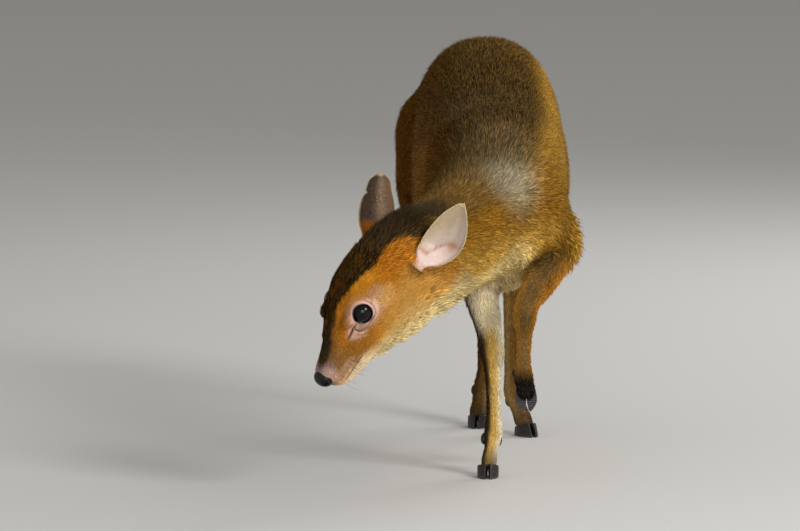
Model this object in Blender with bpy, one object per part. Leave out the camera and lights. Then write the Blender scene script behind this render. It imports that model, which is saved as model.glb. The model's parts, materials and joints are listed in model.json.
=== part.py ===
"""A life-size standing muntjac doe with her head down, as separate closed solids.

Metres, +Z up. The doe faces -Y, her left side is +X, and she stands on the plane Z = 0.
The flesh is lofted form by form, fused into one body, eased, and parted by thin cuts.
"""

import math

import bmesh
import bpy
import numpy as np
from mathutils import Matrix, Vector
from mathutils.bvhtree import BVHTree

# Driving sizes of the doe
RUMP_HEIGHT = 0.460
HEAD_LENGTH = 0.186
EAR_LENGTH = 0.084
EAR_HALF_WIDTH = 0.0205
EAR_WALL = 0.0018
EYE_RADIUS = 0.0118
LID = 0.0013
HOOF_LENGTH = 0.034
CLAW_WIDTH = 0.0112
CLAW_SPACING = 0.0122
CLAW_CLOSING = 0.0030
CORONET_HEIGHT = 0.0135
CORONET_SLOPE = 0.28
GAP = 0.0003

# How finely the forms are made
BODY_VOXEL = 0.0034
HEAD_VOXEL = 0.0017
RING_SIDES = 28
BODY_TRIANGLES = 6400
HEAD_TRIANGLES = 2500

# The head is turned to the doe's right, dropped and rolled, about the back of the skull
SKULL_BACK = Vector((-0.1129, -0.1232, 0.2807))
HEAD_TURN = math.radians(70.5)
HEAD_DROP = math.radians(56.5)
HEAD_ROLL = math.radians(14)

UP = Vector((0, 0, 1))
REAR = Vector((0, 1, 0))


# Shapes and meshes


def through(stations, steps):
    """Rows of numbers on a smooth curve through the stations, with steps rows to each span."""
    rows = np.array(stations, float)
    padded = np.vstack([2 * rows[0] - rows[1], rows, 2 * rows[-1] - rows[-2]])
    made = []
    for i in range(len(rows) - 1):
        a, b, c, d = padded[i : i + 4]
        for t in np.arange(steps) / steps:
            made.append(
                b
                + 0.5 * t * (c - a + t * (2 * a - 5 * b + 4 * c - d + t * (3 * (b - c) + d - a)))
            )
    return np.array([*made, rows[-1]])


def ease(low, high, value):
    """0 below low, 1 above high, and smooth between them."""
    t = np.clip((value - low) / (high - low), 0, 1)
    return t * t * (3 - 2 * t)


def mesh_object(name, points, faces):
    mesh = bpy.data.meshes.new(name)
    mesh.from_pydata([tuple(p) for p in points], [], faces)
    shape = bmesh.new()
    shape.from_mesh(mesh)
    bmesh.ops.recalc_face_normals(shape, faces=shape.faces)
    shape.to_mesh(mesh)
    shape.free()
    made = bpy.data.objects.new(name, mesh)
    bpy.context.scene.collection.objects.link(made)
    return made


def skin_rings(name, rings):
    """A closed mesh over rings that hold the same number of points, with a fan at each end."""
    sides = len(rings[0])
    points = [p for ring in rings for p in ring]
    faces = []
    for r in range(len(rings) - 1):
        for s in range(sides):
            n = (s + 1) % sides
            faces.append((r * sides + s, r * sides + n, (r + 1) * sides + n, (r + 1) * sides + s))
    for start in (0, (len(rings) - 1) * sides):
        centre = sum((Vector(points[start + s]) for s in range(sides)), Vector()) / sides
        points.append(centre)
        faces += [(start + s, start + (s + 1) % sides, len(points) - 1) for s in range(sides)]
    return mesh_object(name, points, faces)


def oval(centre, side, over, half, above, below, square, sides=RING_SIDES):
    """A ring of points about centre: half wide each way along side, above and below it along over."""
    ring = []
    for i in range(sides):
        angle = 2 * math.pi * i / sides
        c, s = math.cos(angle), math.sin(angle)
        across = half * math.copysign(abs(c) ** (2 / square), c)
        tall = (above if s > 0 else below) * math.copysign(abs(s) ** (2 / square), s)
        ring.append(centre + side * across + over * tall)
    return ring


def tube(name, stations, over, square=2.0, steps=4, sides=RING_SIDES):
    """Lofts (x, y, z, half width, size towards over, size away from it) along its own path."""
    rows = through(stations, steps)
    centres = [Vector(r[:3]) for r in rows]
    rings = []
    for i, row in enumerate(rows):
        along = (centres[min(i + 1, len(rows) - 1)] - centres[max(i - 1, 0)]).normalized()
        lift = (over - along * over.dot(along)).normalized()
        rings.append(oval(centres[i], along.cross(lift), lift, *row[3:6], square, sides))
    return skin_rings(name, rings)


def evaluated(item):
    """Turns an object's modifiers into its mesh."""
    bpy.context.view_layer.update()
    graph = bpy.context.evaluated_depsgraph_get()
    made = bpy.data.meshes.new_from_object(item.evaluated_get(graph))
    old = item.data
    item.modifiers.clear()
    item.data = made
    bpy.data.meshes.remove(old)
    return item


def joined(name, items):
    """One object that holds the meshes of the items, which are removed."""
    shape = bmesh.new()
    for item in items:
        item.data.transform(item.matrix_world)
        shape.from_mesh(item.data)
        bpy.data.objects.remove(item)
    mesh = bpy.data.meshes.new(name)
    shape.to_mesh(mesh)
    shape.free()
    made = bpy.data.objects.new(name, mesh)
    bpy.context.scene.collection.objects.link(made)
    return made


def fused(name, items, voxel):
    """One closed skin over forms that overlap."""
    body = joined(name, items)
    remesh = body.modifiers.new("fuse", "REMESH")
    remesh.mode = "VOXEL"
    remesh.voxel_size = voxel
    return evaluated(body)


def relax(item, rounds, weight):
    """Eases the mesh towards its neighbours' mean. weight(points) gives each point's share, 0 to 1."""
    mesh = item.data
    points = np.empty(len(mesh.vertices) * 3)
    mesh.vertices.foreach_get("co", points)
    points = points.reshape(-1, 3)
    ends = np.empty(len(mesh.edges) * 2, int)
    mesh.edges.foreach_get("vertices", ends)
    a, b = ends.reshape(-1, 2).T
    count = np.bincount(np.concatenate([a, b]), minlength=len(points))[:, None]
    share = weight(points)[:, None]
    for _ in range(rounds):
        total = np.zeros_like(points)
        np.add.at(total, a, points[b])
        np.add.at(total, b, points[a])
        points = points + share * 0.5 * (total / count - points)
    mesh.vertices.foreach_set("co", points.ravel())
    mesh.update()


def boolean(item, others, operation):
    """Cuts or joins item with the other meshes, which are removed."""
    tools = bpy.data.collections.new("tools")
    for other in others:
        tools.objects.link(other)
    modifier = item.modifiers.new("boolean", "BOOLEAN")
    modifier.operation = operation
    modifier.operand_type = "COLLECTION"
    modifier.collection = tools
    modifier.solver = "EXACT"
    evaluated(item)
    for other in list(tools.objects):
        bpy.data.objects.remove(other)
    bpy.data.collections.remove(tools)
    return item


def block(name, centre, across, facing, sizes):
    """A box whose third side looks along facing and whose first runs along across."""
    normal = facing.normalized()
    first = (across - normal * across.dot(normal)).normalized()
    axes = Matrix((first, normal.cross(first), normal)).transposed()
    corners = []
    for k in (-0.5, 0.5):
        for j in (-0.5, 0.5):
            for i in (-0.5, 0.5):
                corners.append(centre + axes @ Vector((i * sizes[0], j * sizes[1], k * sizes[2])))
    faces = [(0, 1, 3, 2), (4, 6, 7, 5), (0, 4, 5, 1), (2, 3, 7, 6), (0, 2, 6, 4), (1, 5, 7, 3)]
    return mesh_object(name, corners, faces)


def loose_parts(item):
    """The closed pieces of a mesh as (centre, points, faces), largest first. The item is removed."""
    shape = bmesh.new()
    shape.from_mesh(item.data)
    bmesh.ops.triangulate(shape, faces=shape.faces)
    shape.faces.ensure_lookup_table()
    unseen = set(shape.faces)
    groups = []
    while unseen:
        group, edge = set(), [unseen.pop()]
        while edge:
            face = edge.pop()
            group.add(face)
            for side in face.edges:
                for other in side.link_faces:
                    if other in unseen:
                        unseen.remove(other)
                        edge.append(other)
        groups.append(group)
    parts = []
    for group in sorted(groups, key=len, reverse=True):
        corners = sorted({v for f in group for v in f.verts}, key=lambda v: v.index)
        index = {v: i for i, v in enumerate(corners)}
        points = [v.co.copy() for v in corners]
        ordered = sorted(group, key=lambda f: f.index)
        faces = [tuple(index[v] for v in f.verts) for f in ordered]
        parts.append((sum(points, Vector()) / len(points), points, faces))
    shape.free()
    bpy.data.objects.remove(item)
    return parts


# The head's own frame: +X her left, -Y the way she faces, +Z the brow. The places in it are
# given as (out from the middle, forward from the skull's back, up).

HEAD = (
    Matrix.Translation(SKULL_BACK)
    @ Matrix.Rotation(-HEAD_TURN, 4, "Z")
    @ Matrix.Rotation(HEAD_DROP, 4, "X")
    @ Matrix.Rotation(HEAD_ROLL, 4, "Y")
)


def in_head(out, forward, up):
    return HEAD @ Vector((out, -forward, up))


def head_way(out, forward, up):
    return (HEAD.to_3x3() @ Vector((out, -forward, up))).normalized()


def at(place):
    return Vector((place[0], -place[1], place[2]))


# Ears: share of the length, half width, how deep the cup is, how far its middle bows down the
# side, all but the first as shares of the greatest half width, and how full its cup is

EAR_STATIONS = [
    (0.00, 0.36, 0.36, 0.00, 1.0),
    (0.08, 0.44, 0.50, 0.03, 0.8),
    (0.18, 0.68, 0.72, 0.14, 0.0),
    (0.32, 0.92, 0.80, 0.26, -1.0),
    (0.46, 1.00, 0.72, 0.30, -1.0),
    (0.62, 0.94, 0.56, 0.27, -1.0),
    (0.78, 0.72, 0.38, 0.17, -1.0),
    (0.90, 0.44, 0.24, 0.07, -1.0),
    (0.97, 0.22, 0.14, 0.00, -1.0),
    (1.00, 0.07, 0.10, 0.00, -1.0),
]
EAR_ROOT = (0.040, 0.031, -0.005)
# Side, which way each ear stands, which way its cup opens, and its share of the bow
EARS = {
    "left": (1, Vector((0.580, -0.11, 0.805)), Vector((-0.18, -0.97, 0.02)), 1.0),
    "right": (-1, Vector((0.060, 0.02, 0.998)), Vector((-0.36, 0.93, 0.0)), -0.3),
}
EAR_SIDES = 9


def ear_frame(which):
    """Where an ear starts, and its directions: along it, across it, and out of its cup."""
    side, stand, opening, _ = EARS[which]
    stand = stand.normalized()
    opening = (opening - stand * opening.dot(stand)).normalized()
    root = in_head(EAR_ROOT[0] * side, EAR_ROOT[1], EAR_ROOT[2])
    return root, stand, stand.cross(opening) * side, opening


def ear(which, grow=0.0):
    """A solid root that opens into a curved, hollow leaf. With grow it is the ear's own room:
    that much bigger all round, and filled to its rim."""
    root, stand, across, opening = ear_frame(which)
    rings = []
    for share, half, cup, bow, full in through(EAR_STATIONS, 2):
        end = grow if share == 1.0 else -grow if share == 0.0 else 0.0
        bowed = bow * EARS[which][3] * EAR_HALF_WIDTH
        centre = root + stand * (share * EAR_LENGTH + end) + across * bowed
        half, cup = half * EAR_HALF_WIDTH + grow, cup * EAR_HALF_WIDTH + grow
        hollow = min(max((1 - full) / 2, 0.0), 1.0)
        ring = []
        for i in range(EAR_SIDES):
            angle = math.pi * (i / (EAR_SIDES - 1) - 0.5)
            ring.append(centre + across * (half * math.sin(angle)) - opening * (cup * math.cos(angle)))
        for i in reversed(range(1, EAR_SIDES - 1)):
            angle = math.pi * (i / (EAR_SIDES - 1) - 0.5)
            closed = cup * 0.9 * math.cos(angle)
            inner = EAR_WALL * 0.5 * (1 - math.cos(angle)) - (cup - EAR_WALL) * math.cos(angle)
            if grow:
                inner = EAR_WALL * 0.5 + 3 * grow
            lift = closed + (inner - closed) * hollow
            width = half - EAR_WALL * 0.35
            ring.append(centre + across * (width * math.sin(angle)) + opening * lift)
        rings.append(ring)
    return skin_rings(f"ear_{which}", rings)


def ear_root(which):
    """The fleshy base of an ear, from inside the skull out to where the leaf starts."""
    root, stand, across, opening = ear_frame(which)
    side = EARS[which][0]
    inside = in_head(0.016 * side, 0.022, 0.004)
    under = in_head(0.034 * side, 0.027, -0.003)
    rows = []
    for point, size in (
        (inside, 0.0160),
        (inside.lerp(under, 0.6), 0.0142),
        (under, 0.0112),
        (root + stand * 0.005, 0.0088),
        (root + stand * 0.012 + across * 0.001, 0.0078),
    ):
        rows.append((*point, size, size, size))
    return tube("ear_root", rows, opening, 2.0, 3, 16)


# Distance from the skull's back, half width, height above the axis, depth below it, all as
# shares of the head's length
HEAD_STATIONS = [
    (-0.14, 0.115, 0.070, 0.200),
    (-0.04, 0.160, 0.125, 0.320),
    (0.08, 0.186, 0.182, 0.385),
    (0.22, 0.202, 0.222, 0.420),
    (0.36, 0.212, 0.240, 0.400),
    (0.48, 0.204, 0.234, 0.350),
    (0.60, 0.158, 0.194, 0.284),
    (0.72, 0.112, 0.132, 0.230),
    (0.84, 0.087, 0.076, 0.200),
    (0.92, 0.078, 0.050, 0.168),
    (0.965, 0.064, 0.034, 0.120),
    (0.985, 0.036, 0.016, 0.078),
]
# Swellings on each side of the head: middle, then half sizes
BROW = ((0.0214, 0.1000, 0.0228), (0.0116, 0.0270, 0.0088))
CHEEK = ((0.0225, 0.064, -0.0150), (0.0160, 0.0350, 0.0270))
LIP = ((0.0105, 0.163, -0.0090), (0.0070, 0.0180, 0.0110))


def head_forms():
    """The skull and muzzle, with the brow, cheek, lip and ear root of each side."""
    rings = []
    for row in through(HEAD_STATIONS, 4) * HEAD_LENGTH:
        ring = oval(Vector((0, -row[0], 0)), Vector((1, 0, 0)), UP, *row[1:4], 2.35, 32)
        rings.append([HEAD @ p for p in ring])
    forms = [skin_rings("skull", rings)]
    for side in (-1, 1):
        for place, sizes in (BROW, CHEEK, LIP):
            centre = Vector((place[0] * side, -place[1], place[2]))
            forms.append(ball("swelling", HEAD, centre, sizes, 20, 12))
    for which in EARS:
        forms.append(ear_root(which))
    return forms


def ball(name, matrix, centre, sizes, around, down):
    """An ellipsoid in the frame of matrix."""
    shape = bmesh.new()
    bmesh.ops.create_uvsphere(shape, u_segments=around, v_segments=down, radius=1)
    bmesh.ops.transform(shape, matrix=Matrix.Diagonal((*sizes, 1)), verts=shape.verts)
    bmesh.ops.translate(shape, vec=centre, verts=shape.verts)
    bmesh.ops.transform(shape, matrix=matrix, verts=shape.verts)
    mesh = bpy.data.meshes.new(name)
    shape.to_mesh(mesh)
    shape.free()
    made = bpy.data.objects.new(name, mesh)
    bpy.context.scene.collection.objects.link(made)
    return made


# Trunk and neck: x, y, z of the middle, half width, height above it, depth below it

TRUNK_STATIONS = [
    (-0.012, -0.042, 0.284, 0.022, 0.026, 0.028),
    (-0.010, -0.020, 0.287, 0.052, 0.060, 0.062),
    (-0.009, 0.028, 0.293, 0.071, 0.093, 0.094),
    (-0.009, 0.082, 0.298, 0.079, 0.103, 0.103),
    (-0.006, 0.150, 0.303, 0.085, 0.101, 0.103),
    (-0.002, 0.228, 0.309, 0.087, 0.108, 0.098),
    (0.002, 0.302, 0.319, 0.086, 0.121, 0.085),
    (0.004, 0.375, 0.326, 0.085, RUMP_HEIGHT - 0.326, 0.077),
    (0.005, 0.435, 0.328, 0.076, 0.116, 0.074),
    (0.005, 0.478, 0.326, 0.057, 0.086, 0.062),
    (0.005, 0.500, 0.322, 0.026, 0.042, 0.036),
]
NECK_STATIONS = [
    (-0.009, 0.085, 0.318, 0.066, 0.066, 0.080),
    (-0.014, 0.030, 0.308, 0.064, 0.066, 0.086),
    (-0.032, -0.025, 0.294, 0.057, 0.056, 0.080),
    (-0.062, -0.070, 0.279, 0.048, 0.046, 0.074),
    (-0.098, -0.104, 0.266, 0.042, 0.040, 0.079),
    (-0.126, -0.132, 0.252, 0.036, 0.034, 0.070),
]

# Legs: x, y, z of the bone line, half width, size behind it, size before it

FORE_RIGHT = [
    (-0.036, 0.088, 0.376, 0.012, 0.020, 0.020),
    (-0.057, 0.062, 0.342, 0.022, 0.038, 0.036),
    (-0.062, 0.028, 0.300, 0.028, 0.042, 0.038),
    (-0.048, 0.042, 0.258, 0.029, 0.034, 0.032),
    (-0.032, 0.040, 0.226, 0.0250, 0.024, 0.024),
    (-0.0228, 0.022, 0.190, 0.0190, 0.018, 0.019),
    (-0.0155, 0.006, 0.153, 0.0142, 0.0135, 0.0145),
    (-0.0138, 0.001, 0.137, 0.0145, 0.0135, 0.0150),
    (-0.0128, 0.001, 0.120, 0.0110, 0.0114, 0.0114),
    (-0.0118, 0.003, 0.090, 0.0090, 0.0098, 0.0092),
    (-0.0115, 0.005, 0.063, 0.0094, 0.0107, 0.0094),
    (-0.0120, 0.005, 0.048, 0.0118, 0.0134, 0.0110),
    (-0.0145, -0.003, 0.031, 0.0104, 0.0110, 0.0100),
    (-0.0175, -0.010, 0.017, 0.0117, 0.0122, 0.0112),
    (-0.0188, -0.014, 0.008, 0.0100, 0.0110, 0.0100),
]
FORE_LEFT = [
    (0.020, 0.088, 0.376, 0.012, 0.020, 0.020),
    (0.037, 0.062, 0.342, 0.020, 0.038, 0.036),
    (0.044, 0.026, 0.300, 0.026, 0.042, 0.038),
    (0.058, 0.034, 0.255, 0.027, 0.032, 0.032),
    (0.050, 0.008, 0.233, 0.0225, 0.024, 0.024),
    (0.034, -0.025, 0.211, 0.0180, 0.018, 0.019),
    (0.0222, -0.048, 0.197, 0.0142, 0.0140, 0.0145),
    (0.0185, -0.050, 0.182, 0.0142, 0.0137, 0.0147),
    (0.0188, -0.040, 0.167, 0.0110, 0.0114, 0.0114),
    (0.0195, -0.022, 0.142, 0.0088, 0.0097, 0.0092),
    (0.0205, -0.006, 0.120, 0.0094, 0.0107, 0.0094),
    (0.0215, 0.003, 0.107, 0.0118, 0.0134, 0.0110),
    (0.0240, 0.019, 0.099, 0.0104, 0.0110, 0.0100),
    (0.0258, 0.030, 0.090, 0.0117, 0.0122, 0.0112),
    (0.0266, 0.036, 0.083, 0.0100, 0.0110, 0.0100),
]
HIND_LEFT = [
    (0.0300, 0.3920, 0.405, 0.018, 0.030, 0.040),
    (0.0490, 0.3800, 0.362, 0.036, 0.062, 0.070),
    (0.0585, 0.3550, 0.315, 0.039, 0.074, 0.078),
    (0.0615, 0.3280, 0.275, 0.034, 0.060, 0.058),
    (0.0580, 0.3440, 0.243, 0.0270, 0.042, 0.037),
    (0.0505, 0.3720, 0.216, 0.0200, 0.027, 0.023),
    (0.0440, 0.3950, 0.194, 0.0145, 0.0215, 0.0165),
    (0.0400, 0.3980, 0.178, 0.0138, 0.0200, 0.0152),
    (0.0370, 0.3900, 0.158, 0.0114, 0.0146, 0.0122),
    (0.0345, 0.3710, 0.115, 0.0092, 0.0108, 0.0098),
    (0.0335, 0.3500, 0.066, 0.0095, 0.0112, 0.0098),
    (0.0345, 0.3430, 0.049, 0.0119, 0.0135, 0.0112),
    (0.0400, 0.3330, 0.031, 0.0104, 0.0109, 0.0101),
    (0.0455, 0.3230, 0.017, 0.0117, 0.0122, 0.0112),
    (0.0480, 0.3180, 0.008, 0.0100, 0.0110, 0.0100),
]
HIND_RIGHT = [
    (-0.0250, 0.3960, 0.405, 0.018, 0.030, 0.040),
    (-0.0535, 0.3870, 0.362, 0.040, 0.062, 0.070),
    (-0.0590, 0.3680, 0.315, 0.039, 0.074, 0.078),
    (-0.0635, 0.3500, 0.275, 0.034, 0.060, 0.058),
    (-0.0550, 0.3750, 0.243, 0.0270, 0.042, 0.037),
    (-0.0300, 0.4150, 0.216, 0.0200, 0.027, 0.023),
    (-0.0110, 0.4480, 0.194, 0.0145, 0.0215, 0.0165),
    (-0.0040, 0.4560, 0.178, 0.0138, 0.0200, 0.0152),
    (0.0015, 0.4540, 0.158, 0.0114, 0.0146, 0.0122),
    (0.0070, 0.4430, 0.115, 0.0092, 0.0108, 0.0098),
    (0.0075, 0.4280, 0.066, 0.0095, 0.0112, 0.0098),
    (0.0055, 0.4220, 0.049, 0.0119, 0.0135, 0.0112),
    (0.0015, 0.4120, 0.031, 0.0104, 0.0109, 0.0101),
    (-0.0015, 0.4030, 0.017, 0.0117, 0.0122, 0.0112),
    (-0.0025, 0.3990, 0.008, 0.0100, 0.0110, 0.0100),
]
LEGS = {
    "fore_right": FORE_RIGHT,
    "fore_left": FORE_LEFT,
    "hind_left": HIND_LEFT,
    "hind_right": HIND_RIGHT,
}
# The middle of each foot's sole, which way its toe points, and which way the foot's top looks
FEET = {
    "fore_right": (Vector((-0.0192, -0.018, 0)), Vector((-0.10, -1, 0)), UP),
    "fore_left": (
        Vector((0.0277, 0.0465, 0.0800)),
        Vector((0.09, 0.30, -0.95)),
        Vector((-0.06, -0.95, -0.30)),
    ),
    "hind_left": (Vector((0.049, 0.314, 0)), Vector((0.42, -0.91, 0)), UP),
    "hind_right": (Vector((-0.003, 0.394, 0)), Vector((-0.18, -0.97, 0)), UP),
}

TAIL_STATIONS = [
    (0.0050, 0.4680, 0.396, 0.0125, 0.0100, 0.0100),
    (0.0050, 0.4940, 0.388, 0.0155, 0.0110, 0.0105),
    (0.0050, 0.5170, 0.364, 0.0195, 0.0110, 0.0100),
    (0.0050, 0.5270, 0.330, 0.0225, 0.0108, 0.0090),
    (0.0050, 0.5310, 0.296, 0.0210, 0.0098, 0.0080),
    (0.0050, 0.5330, 0.268, 0.0140, 0.0072, 0.0062),
    (0.0050, 0.5340, 0.250, 0.0040, 0.0030, 0.0030),
]


def softness(points):
    """How far each point of the body is eased: fully on the trunk, little on the thin legs."""
    return 1 - 0.8 * (1 - ease(0.17, 0.26, points[:, 2]))


def thinned(item, triangles):
    """Brings a mesh down to about this many triangles."""
    item.data.calc_loop_triangles()
    modifier = item.modifiers.new("thin", "DECIMATE")
    modifier.ratio = min(1.0, triangles / len(item.data.loop_triangles))
    return evaluated(item)


def neck_form():
    return tube("neck", NECK_STATIONS, UP, 2.1)


def body_flesh():
    """Trunk, neck, head and legs as one eased skin, made coarse. The head is cut off it later."""
    forms = [
        tube("trunk", TRUNK_STATIONS, UP, 2.38),
        neck_form(),
        tube("tail", TAIL_STATIONS, REAR, 2.0, 4, 20),
        *head_forms(),
        *(tube(name, rows, REAR, 2.1, 3, 24) for name, rows in LEGS.items()),
    ]
    body = fused("flesh", forms, BODY_VOXEL)
    relax(body, 14, softness)
    return thinned(body, BODY_TRIANGLES)


def head_flesh():
    """The head and the neck behind it as one fine skin."""
    head = fused("head", [neck_form(), *head_forms()], HEAD_VOXEL)
    relax(head, 10, lambda points: np.full(len(points), 0.8))
    return head


# Parting the flesh

NAPE_CUT = (in_head(0, -0.001, 0.0), Vector((-0.623, -0.549, -0.557)))
SHOULDER_CUT = (Vector((-0.020, -0.016, 0.300)), Vector((-0.40, -0.91, -0.12)))
TAIL_CUT = (Vector((0.005, 0.5260, 0.3430)), Vector((0, 0.25, -0.97)))
# Where along its stations each leg leaves the trunk, and where its knee or hock is
FORE_CUTS = (4.7, 7.0)
HIND_CUTS = (4.75, 7.0)
CUT_WIDTHS = (0.084, 0.044)
# How much each cut leans from square across the leg towards level
CUT_LEVELLING = (1.0, 0.0)


def half_space(name, point, facing, reach=0.30):
    """A big box that fills the side that facing points to, from the plane through point."""
    middle = point + facing.normalized() * (reach / 2)
    return block(name, middle, Vector((0.1, 0.2, 0.97)), facing, (reach, reach, reach))


def slab(name, point, facing, width):
    return block(name, point, Vector((1, 0, 0.01)), facing, (width, width, GAP))


def on_leg(rows, share):
    """A point on a leg's bone line, and the line's direction there."""
    i = int(share)
    point = Vector(rows[i][:3]).lerp(Vector(rows[i + 1][:3]), share - i)
    before = Vector(rows[i - 1][:3]) if share == i else Vector(rows[i][:3])
    return point, (Vector(rows[i + 1][:3]) - before).normalized()


def coronet(foot):
    """A point on the plane where the hair meets the hoof, and the plane's direction towards the leg."""
    sole, toe, top = FEET[foot]
    toe = toe.normalized()
    top = (top - toe * top.dot(toe)).normalized()
    return sole + top * CORONET_HEIGHT, (top - toe * CORONET_SLOPE).normalized()


def foot_cutter(foot):
    """The space of the hoof, up to just above the coronet."""
    point, way = coronet(foot)
    deep = 0.04
    middle = point + way * (GAP - deep / 2)
    return block("hoof_space", middle, FEET[foot][1], way, (0.060, 0.036, deep))


DEWCLAW_SHARE = 11.35
DEWCLAW_SPREAD = 0.0078
DEWCLAW_SIZES = (0.0040, 0.0052, 0.0068)


def dewclaw(name, foot, side, grow=0.0):
    """One of the two small claws behind a fetlock. side is 1 for the one towards her left."""
    joint, along = on_leg(LEGS[foot], DEWCLAW_SHARE)
    back = (REAR - along * REAR.dot(along)).normalized()
    centre = joint + back * 0.0095 - back.cross(along) * (DEWCLAW_SPREAD * side)
    turn = along.to_track_quat("Z", "Y").to_matrix().to_4x4()
    sizes = [size + grow for size in DEWCLAW_SIZES]
    return ball(name, Matrix.Translation(centre) @ turn, Vector(), sizes, 8, 6)


def named_parts(item, wanted):
    """Splits a mesh into its loose pieces and gives each wanted name the piece nearest its place."""
    pieces = loose_parts(item)
    big = [p for p in pieces if len(p[2]) > 30]
    nodes = {}
    for name, place in wanted.items():
        best = min(big, key=lambda p: (p[0] - place).length)
        big.remove(best)
        nodes[name] = mesh_object(name, best[1], best[2])
    return nodes


def parted_body():
    """The torso, neck, tail and legs."""
    body = body_flesh()
    cutters = [
        half_space("head_side", NAPE_CUT[0] - NAPE_CUT[1].normalized() * GAP / 2, NAPE_CUT[1]),
        slab("shoulder", *SHOULDER_CUT, 0.20),
        slab("tail_root", *TAIL_CUT, 0.05),
        *(ear(which, GAP) for which in EARS),
    ]
    wanted = {
        "torso": Vector((0, 0.26, 0.31)),
        "neck": Vector((-0.07, -0.07, 0.29)),
        "tail": Vector((0, 0.53, 0.31)),
    }
    for leg, rows in LEGS.items():
        cuts = FORE_CUTS if "fore" in leg else HIND_CUTS
        for share, width, levelling in zip(cuts, CUT_WIDTHS, CUT_LEVELLING):
            point, along = on_leg(rows, share)
            cutters.append(slab("limb", point, along - UP * levelling, width))
        cutters.append(foot_cutter(leg))
        cutters += [dewclaw("dewclaw_space", leg, way, GAP) for way in (-1, 1)]
        upper, lower = ("forearm", "fore_shank") if "fore" in leg else ("gaskin", "hind_shank")
        side = leg.split("_")[1]
        wanted[f"{upper}_{side}"] = on_leg(rows, 6.0)[0]
        wanted[f"{lower}_{side}"] = on_leg(rows, 9.0)[0]
    return named_parts(boolean(body, cutters, "DIFFERENCE"), wanted)


# The head's own features

EYE_MIDDLE = (0.0256, 0.1020, 0.0172)
EYE_LOOK = (0.88, 0.33, 0.28)
EYE_OPENING = (0.0099, 0.0092)
NOSE_PAD = ((0, 0.1805, -0.0035), (0.0124, 0.0092, 0.0100))
NOSTRIL = ((0.0084, 0.1868, -0.0025), (0.0026, 0.0048, 0.0021))
TEAR_GLAND = ((0.0325, 0.1215, 0.0045), (0.0040, 0.0085, 0.0012))
BROW_GLAND = ((0.0105, 0.117, 0.0300), (0.0011, 0.0130, 0.0045))
MOUTH_CORNER = 0.132
MOUTH_HEIGHT = (-0.0190, -0.0215)
MOUTH_DEPTH = 0.0024
MOUTH_OPENING = 0.0009


def eye_ball(name, side, grow):
    out, forward, up = EYE_MIDDLE
    look = head_way(EYE_LOOK[0] * side, *EYE_LOOK[1:])
    turn = look.to_track_quat("Z", "Y").to_matrix().to_4x4()
    place = Matrix.Translation(in_head(out * side, forward, up)) @ turn
    return ball(name, place, Vector(), (EYE_RADIUS + grow,) * 3, 18, 12)


def lid_opening(side):
    """An almond prism from the eye's middle outwards, which opens the lids over the eye."""
    out, forward, up = EYE_MIDDLE
    centre = in_head(out * side, forward, up)
    look = head_way(EYE_LOOK[0] * side, *EYE_LOOK[1:])
    long_way = head_way(0, 1, -0.42)
    long_way = (long_way - look * long_way.dot(look)).normalized()
    short_way = look.cross(long_way)
    rings = []
    for reach, share in ((0.004, 1.0), (0.022, 1.0)):
        ring = []
        for i in range(22):
            angle = 2 * math.pi * i / 22
            corner = 1 + 0.13 * max(0.0, math.cos(angle)) ** 6 + 0.05 * max(0.0, -math.cos(angle)) ** 6
            across = long_way * (EYE_OPENING[0] * corner * math.cos(angle))
            ring.append(centre + look * reach + across + short_way * (EYE_OPENING[1] * math.sin(angle)))
        rings.append(ring)
    return skin_rings("lid_opening", rings)


def pit(name, place, side, sizes, slant=0.0):
    """An ellipsoid in the head's frame, slanted about the head's length."""
    centre = Matrix.Translation(Vector((place[0] * side, -place[1], place[2])))
    turn = Matrix.Rotation(slant * side, 4, "Z")
    return ball(name, HEAD @ centre @ turn, Vector(), sizes, 10, 6)


def mouth_blade(head):
    """A thin wedge that follows the lips from one corner round the front to the other."""
    tree = BVHTree.FromObject(head, bpy.context.evaluated_depsgraph_get())
    heart = MOUTH_CORNER + 0.012
    rings = []
    for i in range(33):
        turn = math.radians(-128 + 256 * i / 32)
        rise = MOUTH_HEIGHT[0] + (MOUTH_HEIGHT[1] - MOUTH_HEIGHT[0]) * ease(-0.6, 0.8, math.cos(turn))
        start = in_head(0, heart, rise)
        way = head_way(math.sin(turn), math.cos(turn), 0)
        hit = tree.ray_cast(start, way)[0]
        end = min(1.0, 0.25 + 0.22 * min(i, 32 - i))
        over = head_way(0, 0, 1)
        deep, thick = MOUTH_DEPTH * end, MOUTH_OPENING / 2
        rings.append(
            [
                hit - way * deep + over * thick * 0.5,
                hit + way * 0.002 + over * thick * 1.4,
                hit + way * 0.002 - over * thick * 1.4,
                hit - way * deep - over * thick * 0.5,
            ]
        )
    return skin_rings("mouth", rings)


def made_head():
    """The head with its lids, mouth and glands, and the seats of its ears, eyes and nose."""
    head = thinned(head_flesh(), HEAD_TRIANGLES)
    blade = mouth_blade(head)
    head = boolean(head, [eye_ball("lid", side, LID) for side in (-1, 1)], "UNION")
    behind = NAPE_CUT[0] + NAPE_CUT[1].normalized() * GAP / 2
    taken = [blade, half_space("neck_side", behind, -NAPE_CUT[1])]
    taken.append(ball("nose_seat", HEAD, at(NOSE_PAD[0]), [s + GAP for s in NOSE_PAD[1]], 18, 10))
    taken += [ear(which, GAP) for which in EARS]
    for side in (-1, 1):
        taken.append(eye_ball("socket", side, GAP))
        taken.append(lid_opening(side))
        taken.append(pit("tear_gland", TEAR_GLAND[0], side, TEAR_GLAND[1], 0.30))
        taken.append(pit("brow_gland", BROW_GLAND[0], side, BROW_GLAND[1], 0.30))
    return boolean(head, taken, "DIFFERENCE")


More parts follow.
